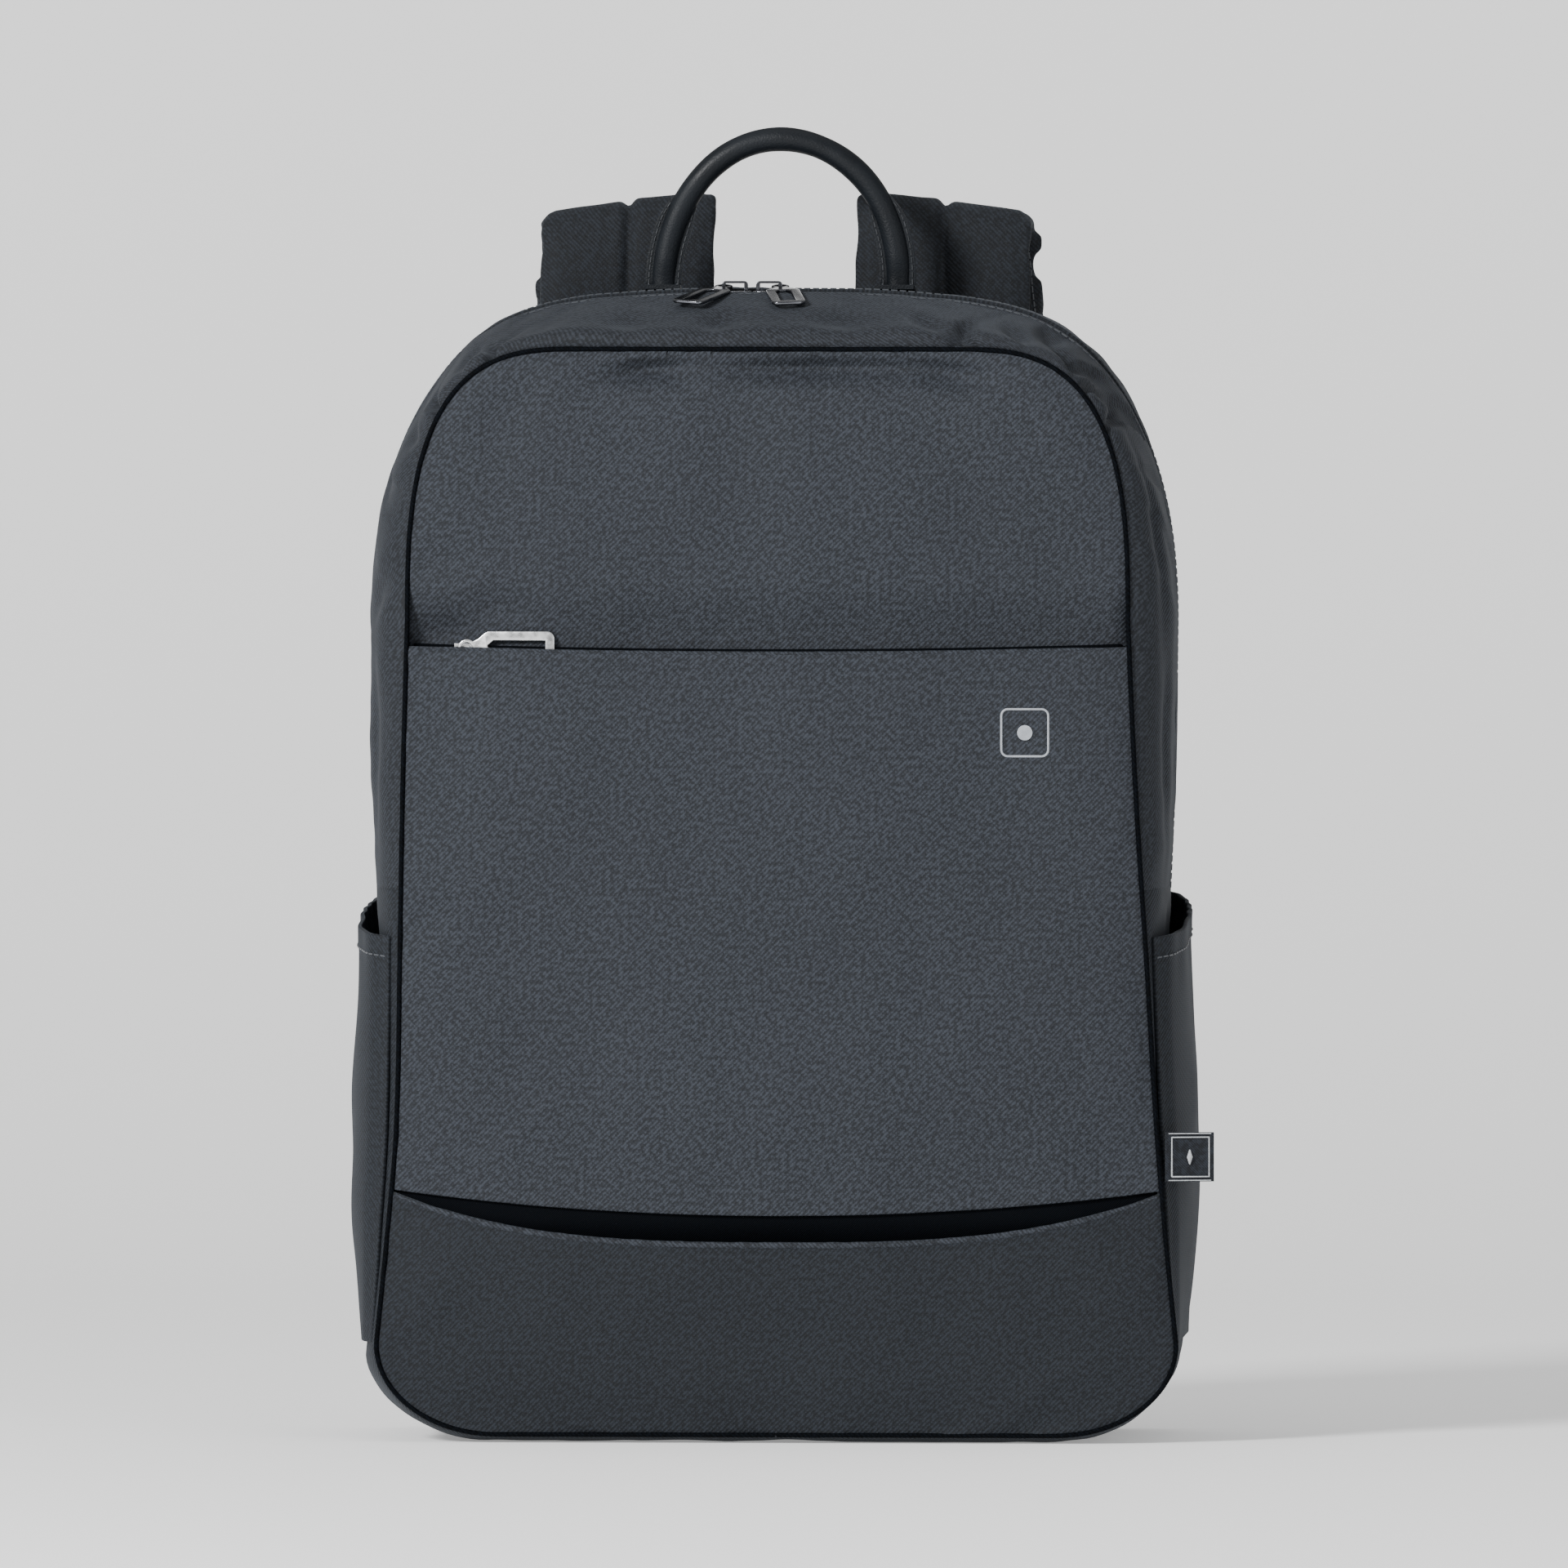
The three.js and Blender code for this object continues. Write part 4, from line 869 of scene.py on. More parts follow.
def moulded(name, colour):
    finish = Finish(name, roughness=0.42)
    vector = finish.coords("Object")
    tone = finish.noise(vector, 300, 3)
    finish.toned(colour, tone, 0.9, 1.15)
    finish.roughness(finish.spread(tone, 0.36, 0.5))
    finish.bump(finish.noise(vector, 2200, 2), strength=0.2, distance=0.00004)
    return finish.material


def thread(name, colour):
    finish = Finish(name, roughness=0.6, Sheen_Weight=0.3)
    twist = finish.noise(finish.coords("Object"), 2600, 2)
    finish.toned(colour, twist, 0.7, 1.25)
    finish.bump(twist, strength=0.3, distance=0.00008)
    return finish.material


def look(name):
    """A named material, made once from the colours that the panel holds."""
    label = "bag_" + name
    if label in bpy.data.materials:
        return bpy.data.materials[label]
    colours = bpy.context.scene.backpack_colours
    makers = {
        "body_cloth": lambda: woven(label, colours.body_cloth),
        # Lower front and base: the front panels' cloth darkened as painted shade, where they face down and
        # away from the light
        "painted_shade_base_cloth": lambda: woven(label, colours.painted_shade_base_cloth),
        "body_cloth_round": lambda: woven(label, colours.body_cloth, coords="Object"),
        # The front band: the front panels' cloth darkened as painted shade
        "painted_shade_band_cloth": lambda: woven(label, tinted(colours.body_cloth, BAND_PAINTED_SHADE)),
        # The seam cord in the lining's near-black: painted shadow along the front seam
        "cord_painted_seam_shadow": lambda: woven(label, colours.lining, coords="Object", sheen=0, gloss=0.05),
        "wall_cloth": lambda: woven(label, colours.wall_cloth),
        "lining_cloth": lambda: woven(label, colours.lining, pitch=0.6, speckle=0.15, sheen=0, gloss=0.05),
        "padded_cloth": lambda: woven(label, colours.padded_cloth, coords="Object"),
        "zip_tape": lambda: ribbed(label, colours.zip_tape, 0.8),
        "zip_coil": lambda: ribbed(label, colours.zip_tape, 1.2),
        "handle_leather": lambda: leather(label, colours.leather),
        "strap_webbing": lambda: ribbed(label, colours.webbing, 1.4),
        "buckle_plastic": lambda: moulded(label, colours.plastic),
        "dark_metal": lambda: metal(label, colours.dark_metal, 0.15),
        "light_metal": lambda: metal(label, colours.light_metal, 0.26),
        "seam_thread": lambda: thread(label, colours.thread),
        "dark_thread": lambda: thread(label, tinted(colours.thread, 0.55)),
        "tag_cloth": lambda: woven(label, colours.tag, coords="Object", pitch=0.7),
        "tag_thread": lambda: thread(label, colours.tag_thread),
        "print_ink": lambda: moulded(label, colours.print_ink),
    }
    return makers[name]()


# Pieces


def wall_piece(shape, name, span, depths, columns, rows, material, out=None, thickness=CLOTH):
    """Cloth on the wall, between two places round the outline and two depths."""
    def surface(a, b):
        around = lerp(*span, a)
        depth = lerp(*depths, b)
        ripple = 0
        for wave in WALL_RIPPLES:
            ripple += wave["high"] * relief(around * wave["across"], depth * wave["along"], wave["seed"])
        gather = relief(around * 38 + depth * 3, depth * 2.2, 4)
        drawn = bell(abs(around - 1), GATHER_PLACE, GATHER_WIDTH) * smooth(gather, 0.02, 0.35)
        ripple -= GATHER_DEPTH * drawn * (1 - smooth(depth, 0.3, 0.5))
        fade = smooth(b, 0, 0.12) * smooth(1 - b, 0, 0.12) * smooth(a, 0, 0.02) * smooth(1 - a, 0, 0.02)
        base = out(a, b) if out else 0
        point = shape.wall_out(around, depth, base + ripple * fade)
        return point + SEAM_ROLL * shape.seam_roll(around, depth)
    return cloth_piece(name, surface, columns, rows, material, thickness)


def edge_depth(shape, millimetres):
    """A length across the wall as a share of the bag's mean depth."""
    return millimetres / ((shape.depth_low + shape.depth_top) / 2)


def make_walls(shape):
    side = shape.around_at(SIDE_SEAM_HEIGHT - 1)
    start = edge_depth(shape, CORD_RADIUS * 0.5)
    zip_half = edge_depth(shape, ZIP_HALF_WIDTH)
    over = (side, 2 - side)

    def roll(a, b):
        """The front band's zip edge rolls out a little."""
        return smooth(b, 0.9, 1) * math.sin(smooth(b, 0.88, 1) * math.pi)

    depths = (start, ZIP_PLACE - zip_half)
    # The front band is the front panels' cloth, darkened as painted shade
    front = wall_piece(shape, "front_band", over, depths, 420, 34, look("painted_shade_band_cloth"), roll)
    declare(front, "body_cloth", "front_gusset")
    rear = wall_piece(shape, "rear_band", over, (ZIP_PLACE + zip_half, 1), 240, 22, look("wall_cloth"))
    declare(rear, "wall_cloth", "rear_gusset")
    # The base band takes the darker base cloth: painted shade of the bag's underside
    base = wall_piece(shape, "base_band", (-LOW_END, LOW_END), (start, 1), 120, 40, look("painted_shade_base_cloth"))
    declare(base, "body_cloth", "bottom_panel", "bottom_corner_left", "bottom_corner_right")
    gap = shape.around_at(LOW_CORNER_TOP - 1) - LOW_END
    high = shape.around_at(SIDE_SEAM_HEIGHT - SEAM_GAP / 2)
    for name, span in (("right", (LOW_END + gap, high)), ("left", (2 - high, 2 - LOW_END - gap))):
        panel = wall_piece(shape, "side_wall_" + name, span, (start, 1), 60, 40, look("wall_cloth"))
        declare(panel, "wall_cloth", "side_panel_" + name)
    inset = edge_depth(shape, ZIP_STITCH_INSET)
    rows = []
    for depth in (ZIP_PLACE - zip_half - inset, ZIP_PLACE + zip_half + inset):
        points = [placed(shape.wall_out(lerp(*over, share), depth)) for share in shares(420)]
        rows.append(stitch_line("zip_stitches", points, look("seam_thread"), away_from_middle))
    declare(join_pieces("zip_stitching", rows), "body_cloth")


def away_from_middle(place):
    """The direction from the bag's middle to a point, seen from the front."""
    return Vector((place.x - MIDDLE_X, 0, place.z - BAG_MIDDLE.z)).normalized()


def front_piece(shape, name, low, high, columns, rows, material, back=None, reach=1.0, spread=None):
    """Cloth of the front between two heights, each read at a share across."""
    def surface(a, b):
        s = (2 * a - 1) * reach
        z = lerp(low(s), high(s), spread(b) if spread else b)
        offset = back(s, z) if back else 0
        return shape.front_dressed(s, z, offset)
    return cloth_piece(name, surface, columns, rows, material, facing=True)


def make_front(shape):
    top = shape.seam_top - PANEL_INSET
    floor = FLOOR_ROLL + PANEL_INSET
    tuck = SLIT_HEIGHT - SLIT_SAG - LIP_TUCK

    def step(s, z):
        """Sets the upper panel's foot back behind the lip."""
        return LIP_STEP * (1 - smooth(z, SLIT_HEIGHT + LIP_STEP_START, SLIT_HEIGHT + LIP_STEP_END))

    def lip(s, z):
        """The main panel's top edge stands out and then turns in."""
        edge = shape.slit(s)
        return -LIP_OUT * smooth(z, edge - 9, edge - 3) + LIP_IN * smooth(z, edge - 2, edge)

    def hem(s, z):
        """The slip pocket gapes, with a turned edge."""
        edge = shape.hem(s)
        gape = HEM_GAPE * (1 - s * s) * smooth(z, LOW_CORNER_TOP, HEM_HEIGHT)
        return -gape - HEM_TURN * smooth(z, edge - 4, edge - 2)

    def lined(s, z):
        """The lining comes forward to the main panel's back."""
        return lerp(SLIP_SPACE, CLOTH + SEAM_GAP, smooth(z, HEM_HEIGHT - 8, SMILE_TOP))

    upper = front_piece(
        shape, "upper_front", lambda s: tuck, lambda s: top, 200, 110, look("body_cloth"), step,
        spread=lambda b: 1 - (1 - b) ** 2.2)
    declare(upper, "body_cloth", "upper_front_panel")
    main = front_piece(shape, "main_front", shape.smile, shape.slit, 200, 150, look("body_cloth"), lip)
    declare(main, "body_cloth", "main_front_panel")
    # The lower front takes the darker base cloth: painted shade of a panel that tilts down, away from the
    # light
    lower = front_piece(
        shape, "lower_front", lambda s: floor, shape.hem, 200, 80, look("painted_shade_base_cloth"), hem,
        spread=lambda b: b ** 2)
    declare(lower, "body_cloth", "lower_front_panel")
    dark = look("lining_cloth")
    lining = front_piece(
        shape, "slip_lining", lambda s: SLIP_FLOOR, lambda s: SLIP_TOP, 80, 30, dark, lined, 0.985)
    declare(lining, "lining", "slip_pocket_lining", "slip_pocket_facing")
    # The front zip's tape in the lining's near-black, raised to show over the lip: the zip's own dark edge
    # and painted shade of the slit's shadow line
    band = front_piece(
        shape, "pocket_zip_band", lambda s: shape.slit(s) - LIP_DEPTH,
        lambda s: shape.slit(s) + ZIP_SHOWS, 160, 12, dark, lambda s, z: LIP_STEP - CLOTH, 0.985)
    declare(band, "zip", "pocket_zip")
    make_hem_rolls(shape, hem, lip)
    make_cord(shape)


def make_hem_rolls(shape, hem, lip):
    """Rolled edges of cloth along the slip pocket's hem and the front pocket's lip."""
    for name, height, back, drop, radius in (
            ("hem_roll", shape.hem, hem, 0.9, HEM_ROLL_RADIUS),
            ("lip_roll", shape.slit, lip, 0.7, LIP_ROLL_RADIUS)):
        points = []
        radii = []
        for share in shares(260):
            s = lerp(-0.99, 0.99, share)
            z = height(s) - drop
            points.append(placed(shape.front_dressed(s, z, back(s, z) + radius * 0.45)))
            radii.append((1 + 0.12 * relief(s * 30, 0, 5)) * (1 - 0.5 * smooth(abs(s), 0.8, 1)))
        declare(tube_along(name, points, radius * MM, look("body_cloth_round"), 4, radii), "body_cloth")


def make_cord(shape):
    """The thin cord round the front seam, painted near-black as the seam's shadow line."""
    places = [lerp(CORD_JOIN, 2 - CORD_JOIN, share) for share in shares(520)]
    points = [placed(shape.wall(around, 0)) for around in places]
    radii = [1 + 0.12 * relief(around * 70, 0, 9) for around in places]
    cord = tube_along("front_cord_edge", points, CORD_RADIUS * MM, look("cord_painted_seam_shadow"), 3, radii)
    declare(cord, "body_cloth", "front_piping")


def make_main_zip(shape):
    side = shape.around_at(SIDE_SEAM_HEIGHT + SEAM_GAP / 2)
    over = (side, 2 - side)
    half = edge_depth(shape, ZIP_HALF_WIDTH)
    gap = edge_depth(shape, SEAM_GAP)
    tape = edge_depth(shape, ZIP_TAPE_WIDTH)
    for name, depths in (
            ("front", (ZIP_PLACE - half + gap, ZIP_PLACE - half + gap + tape)),
            ("rear", (ZIP_PLACE + half - gap - tape, ZIP_PLACE + half - gap))):
        piece = wall_piece(
            shape, "zip_tape_" + name, over, depths, 240, 3, look("zip_tape"), lambda a, b: -ZIP_RECESS, 1.1)
        declare(piece, "zip", "main_zip_tape_" + name)
    inner = (ZIP_PLACE - half + 2 * gap + tape, ZIP_PLACE + half - 2 * gap - tape)
    coil = wall_piece(
        shape, "zip_coil_strip", over, inner, 300, 6, look("zip_coil"),
        lambda a, b: -ZIP_RECESS + 0.5 * math.sin(b * math.pi), 1.2)
    declare(coil, "zip", "main_zip_coil")


def make_side_pockets(shape):
    clear = CLOTH + SEAM_GAP
    base = LOW_CORNER_TOP + SEAM_GAP
    stitches = []

    def mouth(v):
        return POCKET_MOUTH_LOW + POCKET_MOUTH_RISE * v

    for side, name in ((1, "right"), (-1, "left")):
        def swell(v, t):
            """How far the cloth stands out from the wall."""
            bow = 1 - abs(2 * v - 1) ** 2.6
            mouth_share = lerp(1, POCKET_MOUTH_SHARE, smooth(t, 0.55, 1))
            upright = math.sin(min(t / 0.4, 1) * math.pi / 2) * mouth_share
            gather = 0.35 * smooth(t, 0.8, 1) * math.sin(v * 46 + 3 * math.sin(v * 9))
            sway = 0.9 * relief(v * 4, t * 5, side * 3) * bow
            return shape.pocket_bulge * bow * upright + (gather + sway) * bow

        def outside(v, t, out=0.0):
            """The pocket's outer surface at a depth and a share of its height."""
            z = lerp(base, mouth(v), t)
            around = shape.around_at(z)
            hem = 0.4 * smooth(z, mouth(v) - 9, mouth(v) - 7)
            edge = smooth(min(v, 1 - v), 0.03, 0.1)
            lifted = lerp(0.2, clear, edge) + swell(v, t) + hem * edge
            return shape.wall_out(around if side > 0 else 2 - around, v, lifted + out, False)

        pocket = cloth_piece(
            "pocket_" + name, lambda a, b: outside(lerp(POCKET_INSET, 1 - POCKET_INSET, a), b),
            80, 110, look("wall_cloth"), inside=Vector((MIDDLE_X, MIDDLE_Y, 0.11)))
        declare(pocket, "wall_cloth", "side_pocket_" + name)
        points = []
        for share in shares(120):
            v = lerp(0.05, 0.95, share)
            t = 1 - POCKET_STITCH_DROP / (mouth(v) - base)
            points.append(placed(outside(v, t, 0.05)))
        outwards = Vector((side, -0.2, 0)).normalized()
        stitches.append(stitch_line("pocket_stitches", points, look("seam_thread"), lambda p, o=outwards: o))
    declare(join_pieces("pocket_stitching", stitches), "wall_cloth")


def frame_outlines(length, width, bar, eye, hole):
    """A pull seen flat: eye at the origin, neck, and a long frame towards -Y with its window."""
    half = width / 2
    neck = eye * 0.75
    start = math.degrees(math.acos(neck / eye))
    shoulder = -eye - half * 0.5 - bar * 0.4
    end = eye - length
    corner = bar * 0.8
    outline = arc((0, 0), eye, -start, 180 + start, 22)
    outline += [(-half * 0.55, -eye - half * 0.12), (-half * 0.9, shoulder + 1.2), (-half, shoulder)]
    outline += arc((-half + corner, end + corner), corner, 180, 270, 6)
    outline += arc((half - corner, end + corner), corner, 270, 360, 6)
    outline += [(half, shoulder), (half * 0.9, shoulder + 1.2), (half * 0.55, -eye - half * 0.12)]
    inner = half - bar
    upper = shoulder - bar * 0.6
    window = [(-inner, upper), (-inner, end + bar), (inner, end + bar), (inner, upper)]
    window += [(inner * 0.4, shoulder), (-inner * 0.4, shoulder)]
    ring = arc((0, 0), hole, 0, 342, 19)
    return [outline, window, ring]


def make_pull(name, material, spot):
    outlines = frame_outlines(**PULL)
    return plate(name, outlines, PULL_THICKNESS, PULL_BEVEL, look(material), spot)


def make_top_closures():
    for name, turn in (("left", -22), ("right", 9)):
        joint = next(j for j in frame["joints"] if j["child"] == "top_pull_" + name)
        tilt = Matrix.Rotation(math.radians(PULL_TILT_DEGREES), 4, "X")
        spin = Matrix.Rotation(math.radians(turn), 4, "Z")
        lift = Matrix.Translation((0, 0, PULL_THICKNESS / 2 * MM))
        spot = Matrix.Translation(Vector(joint["pos_m"])) @ tilt @ spin @ lift
        pull = make_pull("zip_pull_" + name, "dark_metal", spot)
        declare(pull, "dark_metal", "top_pull_" + name, body="top_pull_" + name)
        make_slider("zip_slider_" + name, "top_slider_" + name, name == "right")


def make_slider(name, node, flipped):
    """A slider's shield-shaped plate with side cheeks and a bridge over it."""
    low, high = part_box(node)
    middle = (Vector(low) + Vector(high)) / 2
    length, width, tall = ((b - a) / MM for a, b in zip(low, high))
    side = -1 if flipped else 1
    outline = [(-0.5, -0.3), (-0.2, -0.42), (0.1, -0.5), (0.36, -0.5), (0.5, -0.34)]
    outline += [(x, -y) for x, y in reversed(outline)]
    points = [(side * x * length, y * width) for x, y in outline]
    base = Vector((middle.x, middle.y, low[2]))
    thick = 0.7
    lift = Matrix.Translation(base + Vector((0, 0, thick / 2 * MM)))
    foot = plate(name + "_plate", [points], thick, 0.2, look("dark_metal"), lift)
    reach, wire, bottom = 4.85, 1.5, 0.3
    arch = [(-reach, bottom), (-reach, tall - wire)] + arc((-reach + wire, tall - wire), wire, 180, 90, 5)[1:]
    arch += arc((reach - wire, tall - wire), wire, 90, 0, 5) + [(reach, bottom)]
    arch += [(reach - wire, bottom), (reach - wire, tall - 0.9)]
    arch += [(-reach + wire, tall - 0.9), (-reach + wire, bottom)]
    stand = Matrix.Translation(base) @ Matrix.Rotation(math.radians(90), 4, "X")
    bridge = plate(name + "_bridge", [arch], 2, 0.25, look("dark_metal"), stand)
    declare(join_pieces(name, [foot, bridge]), "dark_metal", node)


def make_pocket_closure():
    low, high = box_corners("pocket_pull")
    lean = math.asin(clamp(((high.y - low.y) - PULL_THICKNESS * MM) / (high.x - low.x), -1, 1))
    back = high.y - PULL_THICKNESS / 2 * MM - 0.0002
    spot = Matrix.Translation((low.x + PULL["eye"] * MM, back, (low.z + high.z) / 2))
    spot = spot @ Matrix.Rotation(-lean, 4, "Z") @ Matrix.Rotation(math.radians(90), 4, "X")
    spot = spot @ Matrix.Rotation(math.radians(90), 4, "Z")
    declare(make_pull("front_pull", "light_metal", spot), "light_metal", "pocket_pull")
    dress_node("pocket_slider", "light_metal")


def make_handle():
    low, high = box_corners("carry_handle")
    radius = (high.y - low.y) / 2 / MM
    span = (high.x - low.x) / 2 / MM - radius
    foot = low.z / MM
    rise = high.z / MM - radius - foot
    y = (low.y + high.y) / 2

    def line(turn):
        """The grip's middle line and the way out of its arch, at an angle."""
        across = span * math.cos(turn) * (1 + HANDLE_SWAY * math.sin(turn * 2))
        centre = Vector((across, (y - MIDDLE_Y) / MM, foot + rise * math.sin(turn) ** HANDLE_ARCH_POWER))
        return centre, Vector((math.cos(turn) / span, 0, math.sin(turn) / rise)).normalized()

    def skin(a, b):
        centre, out = line(math.pi * (1 - a))
        fullness = 1.04 + 0.04 * relief(a * 9, 0, 4)
        flat = smooth(abs(a - 0.5), 0.44, 0.5)
        ring = 2 * math.pi * b
        reach = radius * fullness * (1 - 0.02 * flat) - 0.45 * bell(b, 0.5, 0.02)
        sideways = Vector((0, 1, 0)) * math.sin(ring) * reach * (1 - 0.25 * flat)
        return centre + out * math.cos(ring) * reach + sideways

    grip = closed_piece("grip", skin, 120, 28, look("handle_leather"), 60)
    declare(grip, "leather", "carry_handle")
    flanges = []
    for leg in (-1, 1):
        for edge in (-1, 1):
            def flange(a, b, leg=leg, edge=edge):
                """A flat edge of leather beside the grip's leg."""
                centre, out = line(math.pi / 2 * (1 - leg) + leg * lerp(0.0, 0.75, b))
                reach = radius * 0.8 + lerp(0, FLANGE_REACH * (1 - smooth(b, 0.5, 1)), a)
                return centre + Vector((0, -1.2, 0)) + out * edge * reach

            flanges.append(cloth_piece(
                "grip_flange_%d" % len(flanges), flange, 6, 40, look("handle_leather"), 1.2, 0.3,
                inside=Vector((MIDDLE_X, y + 0.05, 0.44))))
            points = [
                placed(flange(0.62, lerp(0.02, 0.72, share)) + Vector((0, -0.1, 0))) for share in shares(30)]
            stitches = stitch_line(
                "grip_stitches_%d%d" % (leg + 1, edge + 1), points, look("dark_thread"),
                lambda p: Vector((0, -1, 0)), 1.9, 0.8, 0.22)
            declare(stitches, "leather")
    for strip in flanges:
        declare(strip, "leather")
    for name in ("left", "right"):
        make_handle_tab(name)


def make_handle_tab(name):
    low, high = box_corners("handle_tab_" + name)
    bm = bmesh.new()
    bmesh.ops.create_cube(bm, size=1)
    wide, long = high.x - low.x, high.y - low.y
    thick = 0.0018
    drop = (high.z - low.z) - thick
    bmesh.ops.scale(bm, vec=(wide, long, thick), verts=bm.verts)
    bmesh.ops.subdivide_edges(bm, edges=bm.edges, cuts=8, use_grid_fill=True)
    for vert in bm.verts:
        share = vert.co.y / long + 0.5
        vert.co.z += -drop * share * share
    middle = ((low.x + high.x) / 2, (low.y + high.y) / 2, high.z - thick / 2)
    bmesh.ops.translate(bm, vec=middle, verts=bm.verts)
    tab = new_piece("grip_foot_" + name, bm, look("handle_leather"), 40)
    round_edges(tab, "edge", 0.0005)
    declare(tab, "leather", "handle_tab_" + name)
    rows = []
    for x in (low.x + 0.0013, high.x - 0.0013):
        points = []
        for share in shares(12):
            y = lerp(low.y + 0.001, high.y - 0.001, share)
            points.append(Vector((x, y, high.z - drop * share * share)))
        rows.append(stitch_line(
            "foot_stitches", points, look("seam_thread"), lambda p: Vector((0, 0, 1)), 1.6, 0.7, 0.2))
    declare(join_pieces("grip_stitching_" + name, rows), "leather")


def strap_frame(shape, place, side):
    """Centre, width direction, thickness direction, width and thickness of a strap at a place."""
    sizes = bpy.context.scene.backpack_sizes
    thickness = sizes.strap_thickness / MM
    seat = shape.depth_at(STRAP_ROOT_HEIGHT) / 2 + BACK_CROWN + thickness / 2
    root = Vector((STRAP_ROOT_ACROSS, seat, STRAP_ROOT_HEIGHT))
    rise = STRAP_TOP - thickness / 2 - STRAP_ROOT_HEIGHT
    drop = (STRAP_ROOT_HEIGHT - STRAP_FOOT_HEIGHT) / -STRAP_ROWS[-1]["up"]

    def centre(t):
        up, back, out = (read(STRAP_ROWS, "place", t, name) for name in ("up", "back", "out"))
        depth = lerp(back * STRAP_BACK_LOW, back * STRAP_BACK_HIGH, smooth(up, 0.2, 0.6))
        return root + Vector((out * STRAP_OUT, depth, up * rise if up >= 0 else up * drop))

    last = STRAP_ROWS[-1]["place"]
    middle = centre(place)
    along = (centre(min(place + 0.05, last)) - centre(max(place - 0.05, 0))).normalized()
    high = clamp((middle.z - STRAP_ROOT_HEIGHT) / rise)
    wide = Vector((1, 0, -math.sin(math.radians(STRAP_LEAN_DEGREES)) * high * high))
    wide = (wide - along * wide.dot(along)).normalized()
    thick = along.cross(wide)
    width = sizes.strap_width / MM * read(STRAP_ROWS, "place", place, "width")
    depth = thickness * read(STRAP_ROWS, "place", place, "thick")
    middle, wide, thick = (Vector((side * v.x, v.y, v.z)) for v in (middle, wide, thick))
    return middle, wide, thick, width, depth


def pad_ring(turn):
    """A rounded rectangle, from -1 to 1 across and through, at an angle."""
    u = math.copysign(abs(math.cos(turn)) ** 0.5, math.cos(turn))
    v = math.copysign(abs(math.sin(turn)) ** 0.75, math.sin(turn))
    return u, v


def make_strap(shape, name, side):
    last = STRAP_ROWS[-1]["place"]

    def skin(a, b):
        centre, wide, thick, width, depth = strap_frame(shape, a * last, side)
        u, v = pad_ring(2 * math.pi * b)
        return centre + wide * u * (width / 2 + STRAP_EASE) + thick * v * (depth / 2 - STRAP_PRESS)

    pad = closed_piece("strap_pad_" + name, skin, 110, 32, look("padded_cloth"), 180)
    inflate(pad, voxel=0.0045, pressure=4.0, cap=0.0016)
    press_seam(pad, [strap_frame(shape, lerp(0, last, share), side) for share in shares(260)])
    declare(pad, "padded_cloth", "shoulder_strap_" + name)
    lines = []
    for across, end, lift in ((0.07, 11.5, 1), (-0.07, 11.5, 1), (0.86, 12, 0.62), (-0.86, 12, 0.62)):
        points = []
        for share in shares(140):
            centre, wide, thick, width, depth = strap_frame(shape, lerp(0.1, end, share), side)
            spot = centre + wide * across * width / 2 + thick * (depth / 2 * lift)
            points.append((placed(spot), thick.copy()))
        lines.append(strap_stitches(points))
    declare(join_pieces("strap_stitching_" + name, lines), "padded_cloth")


def strap_stitches(points):
    """Stitches through points, each given with the direction out of the cloth."""
    def facing(place):
        return min(points, key=lambda row: (row[0] - place).length_squared)[1]
    return stitch_line("strap_stitches", [point for point, _ in points], look("seam_thread"), facing)


def press_seam(pad, rows):
    """Presses a seam down the middle of a strap and lets its edges wave."""
    for vert in pad.data.vertices:
        place = (vert.co - Vector((MIDDLE_X, MIDDLE_Y, 0))) / MM
        centre, wide, thick, width, _ = min(rows, key=lambda row: (row[0] - place).length_squared)
        u = (place - centre).dot(wide) / (width / 2)
        v = (place - centre).dot(thick)
        seam = sum(row["deep"] * bell(abs(u), row["across"], row["wide"]) for row in STRAP_SEAMS)
        wave = 0.7 * noise.noise(place / 16) + 0.3 * noise.noise(place / 7)
        shift = thick * (-math.copysign(seam, v) * smooth(abs(v), 0.4, 2.4))
        vert.co += (shift + wide * wave * smooth(abs(u), 0.75, 1) + thick * wave * 0.35) * MM


def inflate(obj, voxel, pressure, cap):
    """Swells a pad by a short cloth simulation; how far a point moves is capped."""
    scene = bpy.context.scene
    remesh = obj.modifiers.new("remesh", "REMESH")
    remesh.mode = "VOXEL"
    remesh.voxel_size = voxel
    bake_modifiers(obj)
    start = [v.co.copy() for v in obj.data.vertices]
    cloth = obj.modifiers.new("cloth", "CLOTH")
    cloth.settings.use_pressure = True
    cloth.settings.uniform_pressure_force = pressure
    cloth.settings.effector_weights.gravity = 0
    cloth.settings.quality = 5
    for frame_number in range(1, 21):
        scene.frame_set(frame_number)
    depsgraph = bpy.context.evaluated_depsgraph_get()
    swollen = [v.co.copy() for v in obj.evaluated_get(depsgraph).data.vertices]
    obj.modifiers.clear()
    scene.frame_set(1)
    for vert, origin, moved in zip(obj.data.vertices, start, swollen):
        step = moved - origin
        if step.length > cap:
            step = step.normalized() * cap
        vert.co = origin + step
    finer = obj.modifiers.new("finer", "SUBSURF")
    finer.levels = 2
    finer.render_levels = 2
    bake_modifiers(obj)
    for polygon in obj.data.polygons:
        polygon.use_smooth = True


def bake_modifiers(obj):
    depsgraph = bpy.context.evaluated_depsgraph_get()
    mesh = bpy.data.meshes.new_from_object(obj.evaluated_get(depsgraph))
    materials = list(obj.data.materials)
    obj.modifiers.clear()
    obj.data = mesh
    mesh.materials.clear()
    for material in materials:
        mesh.materials.append(material)


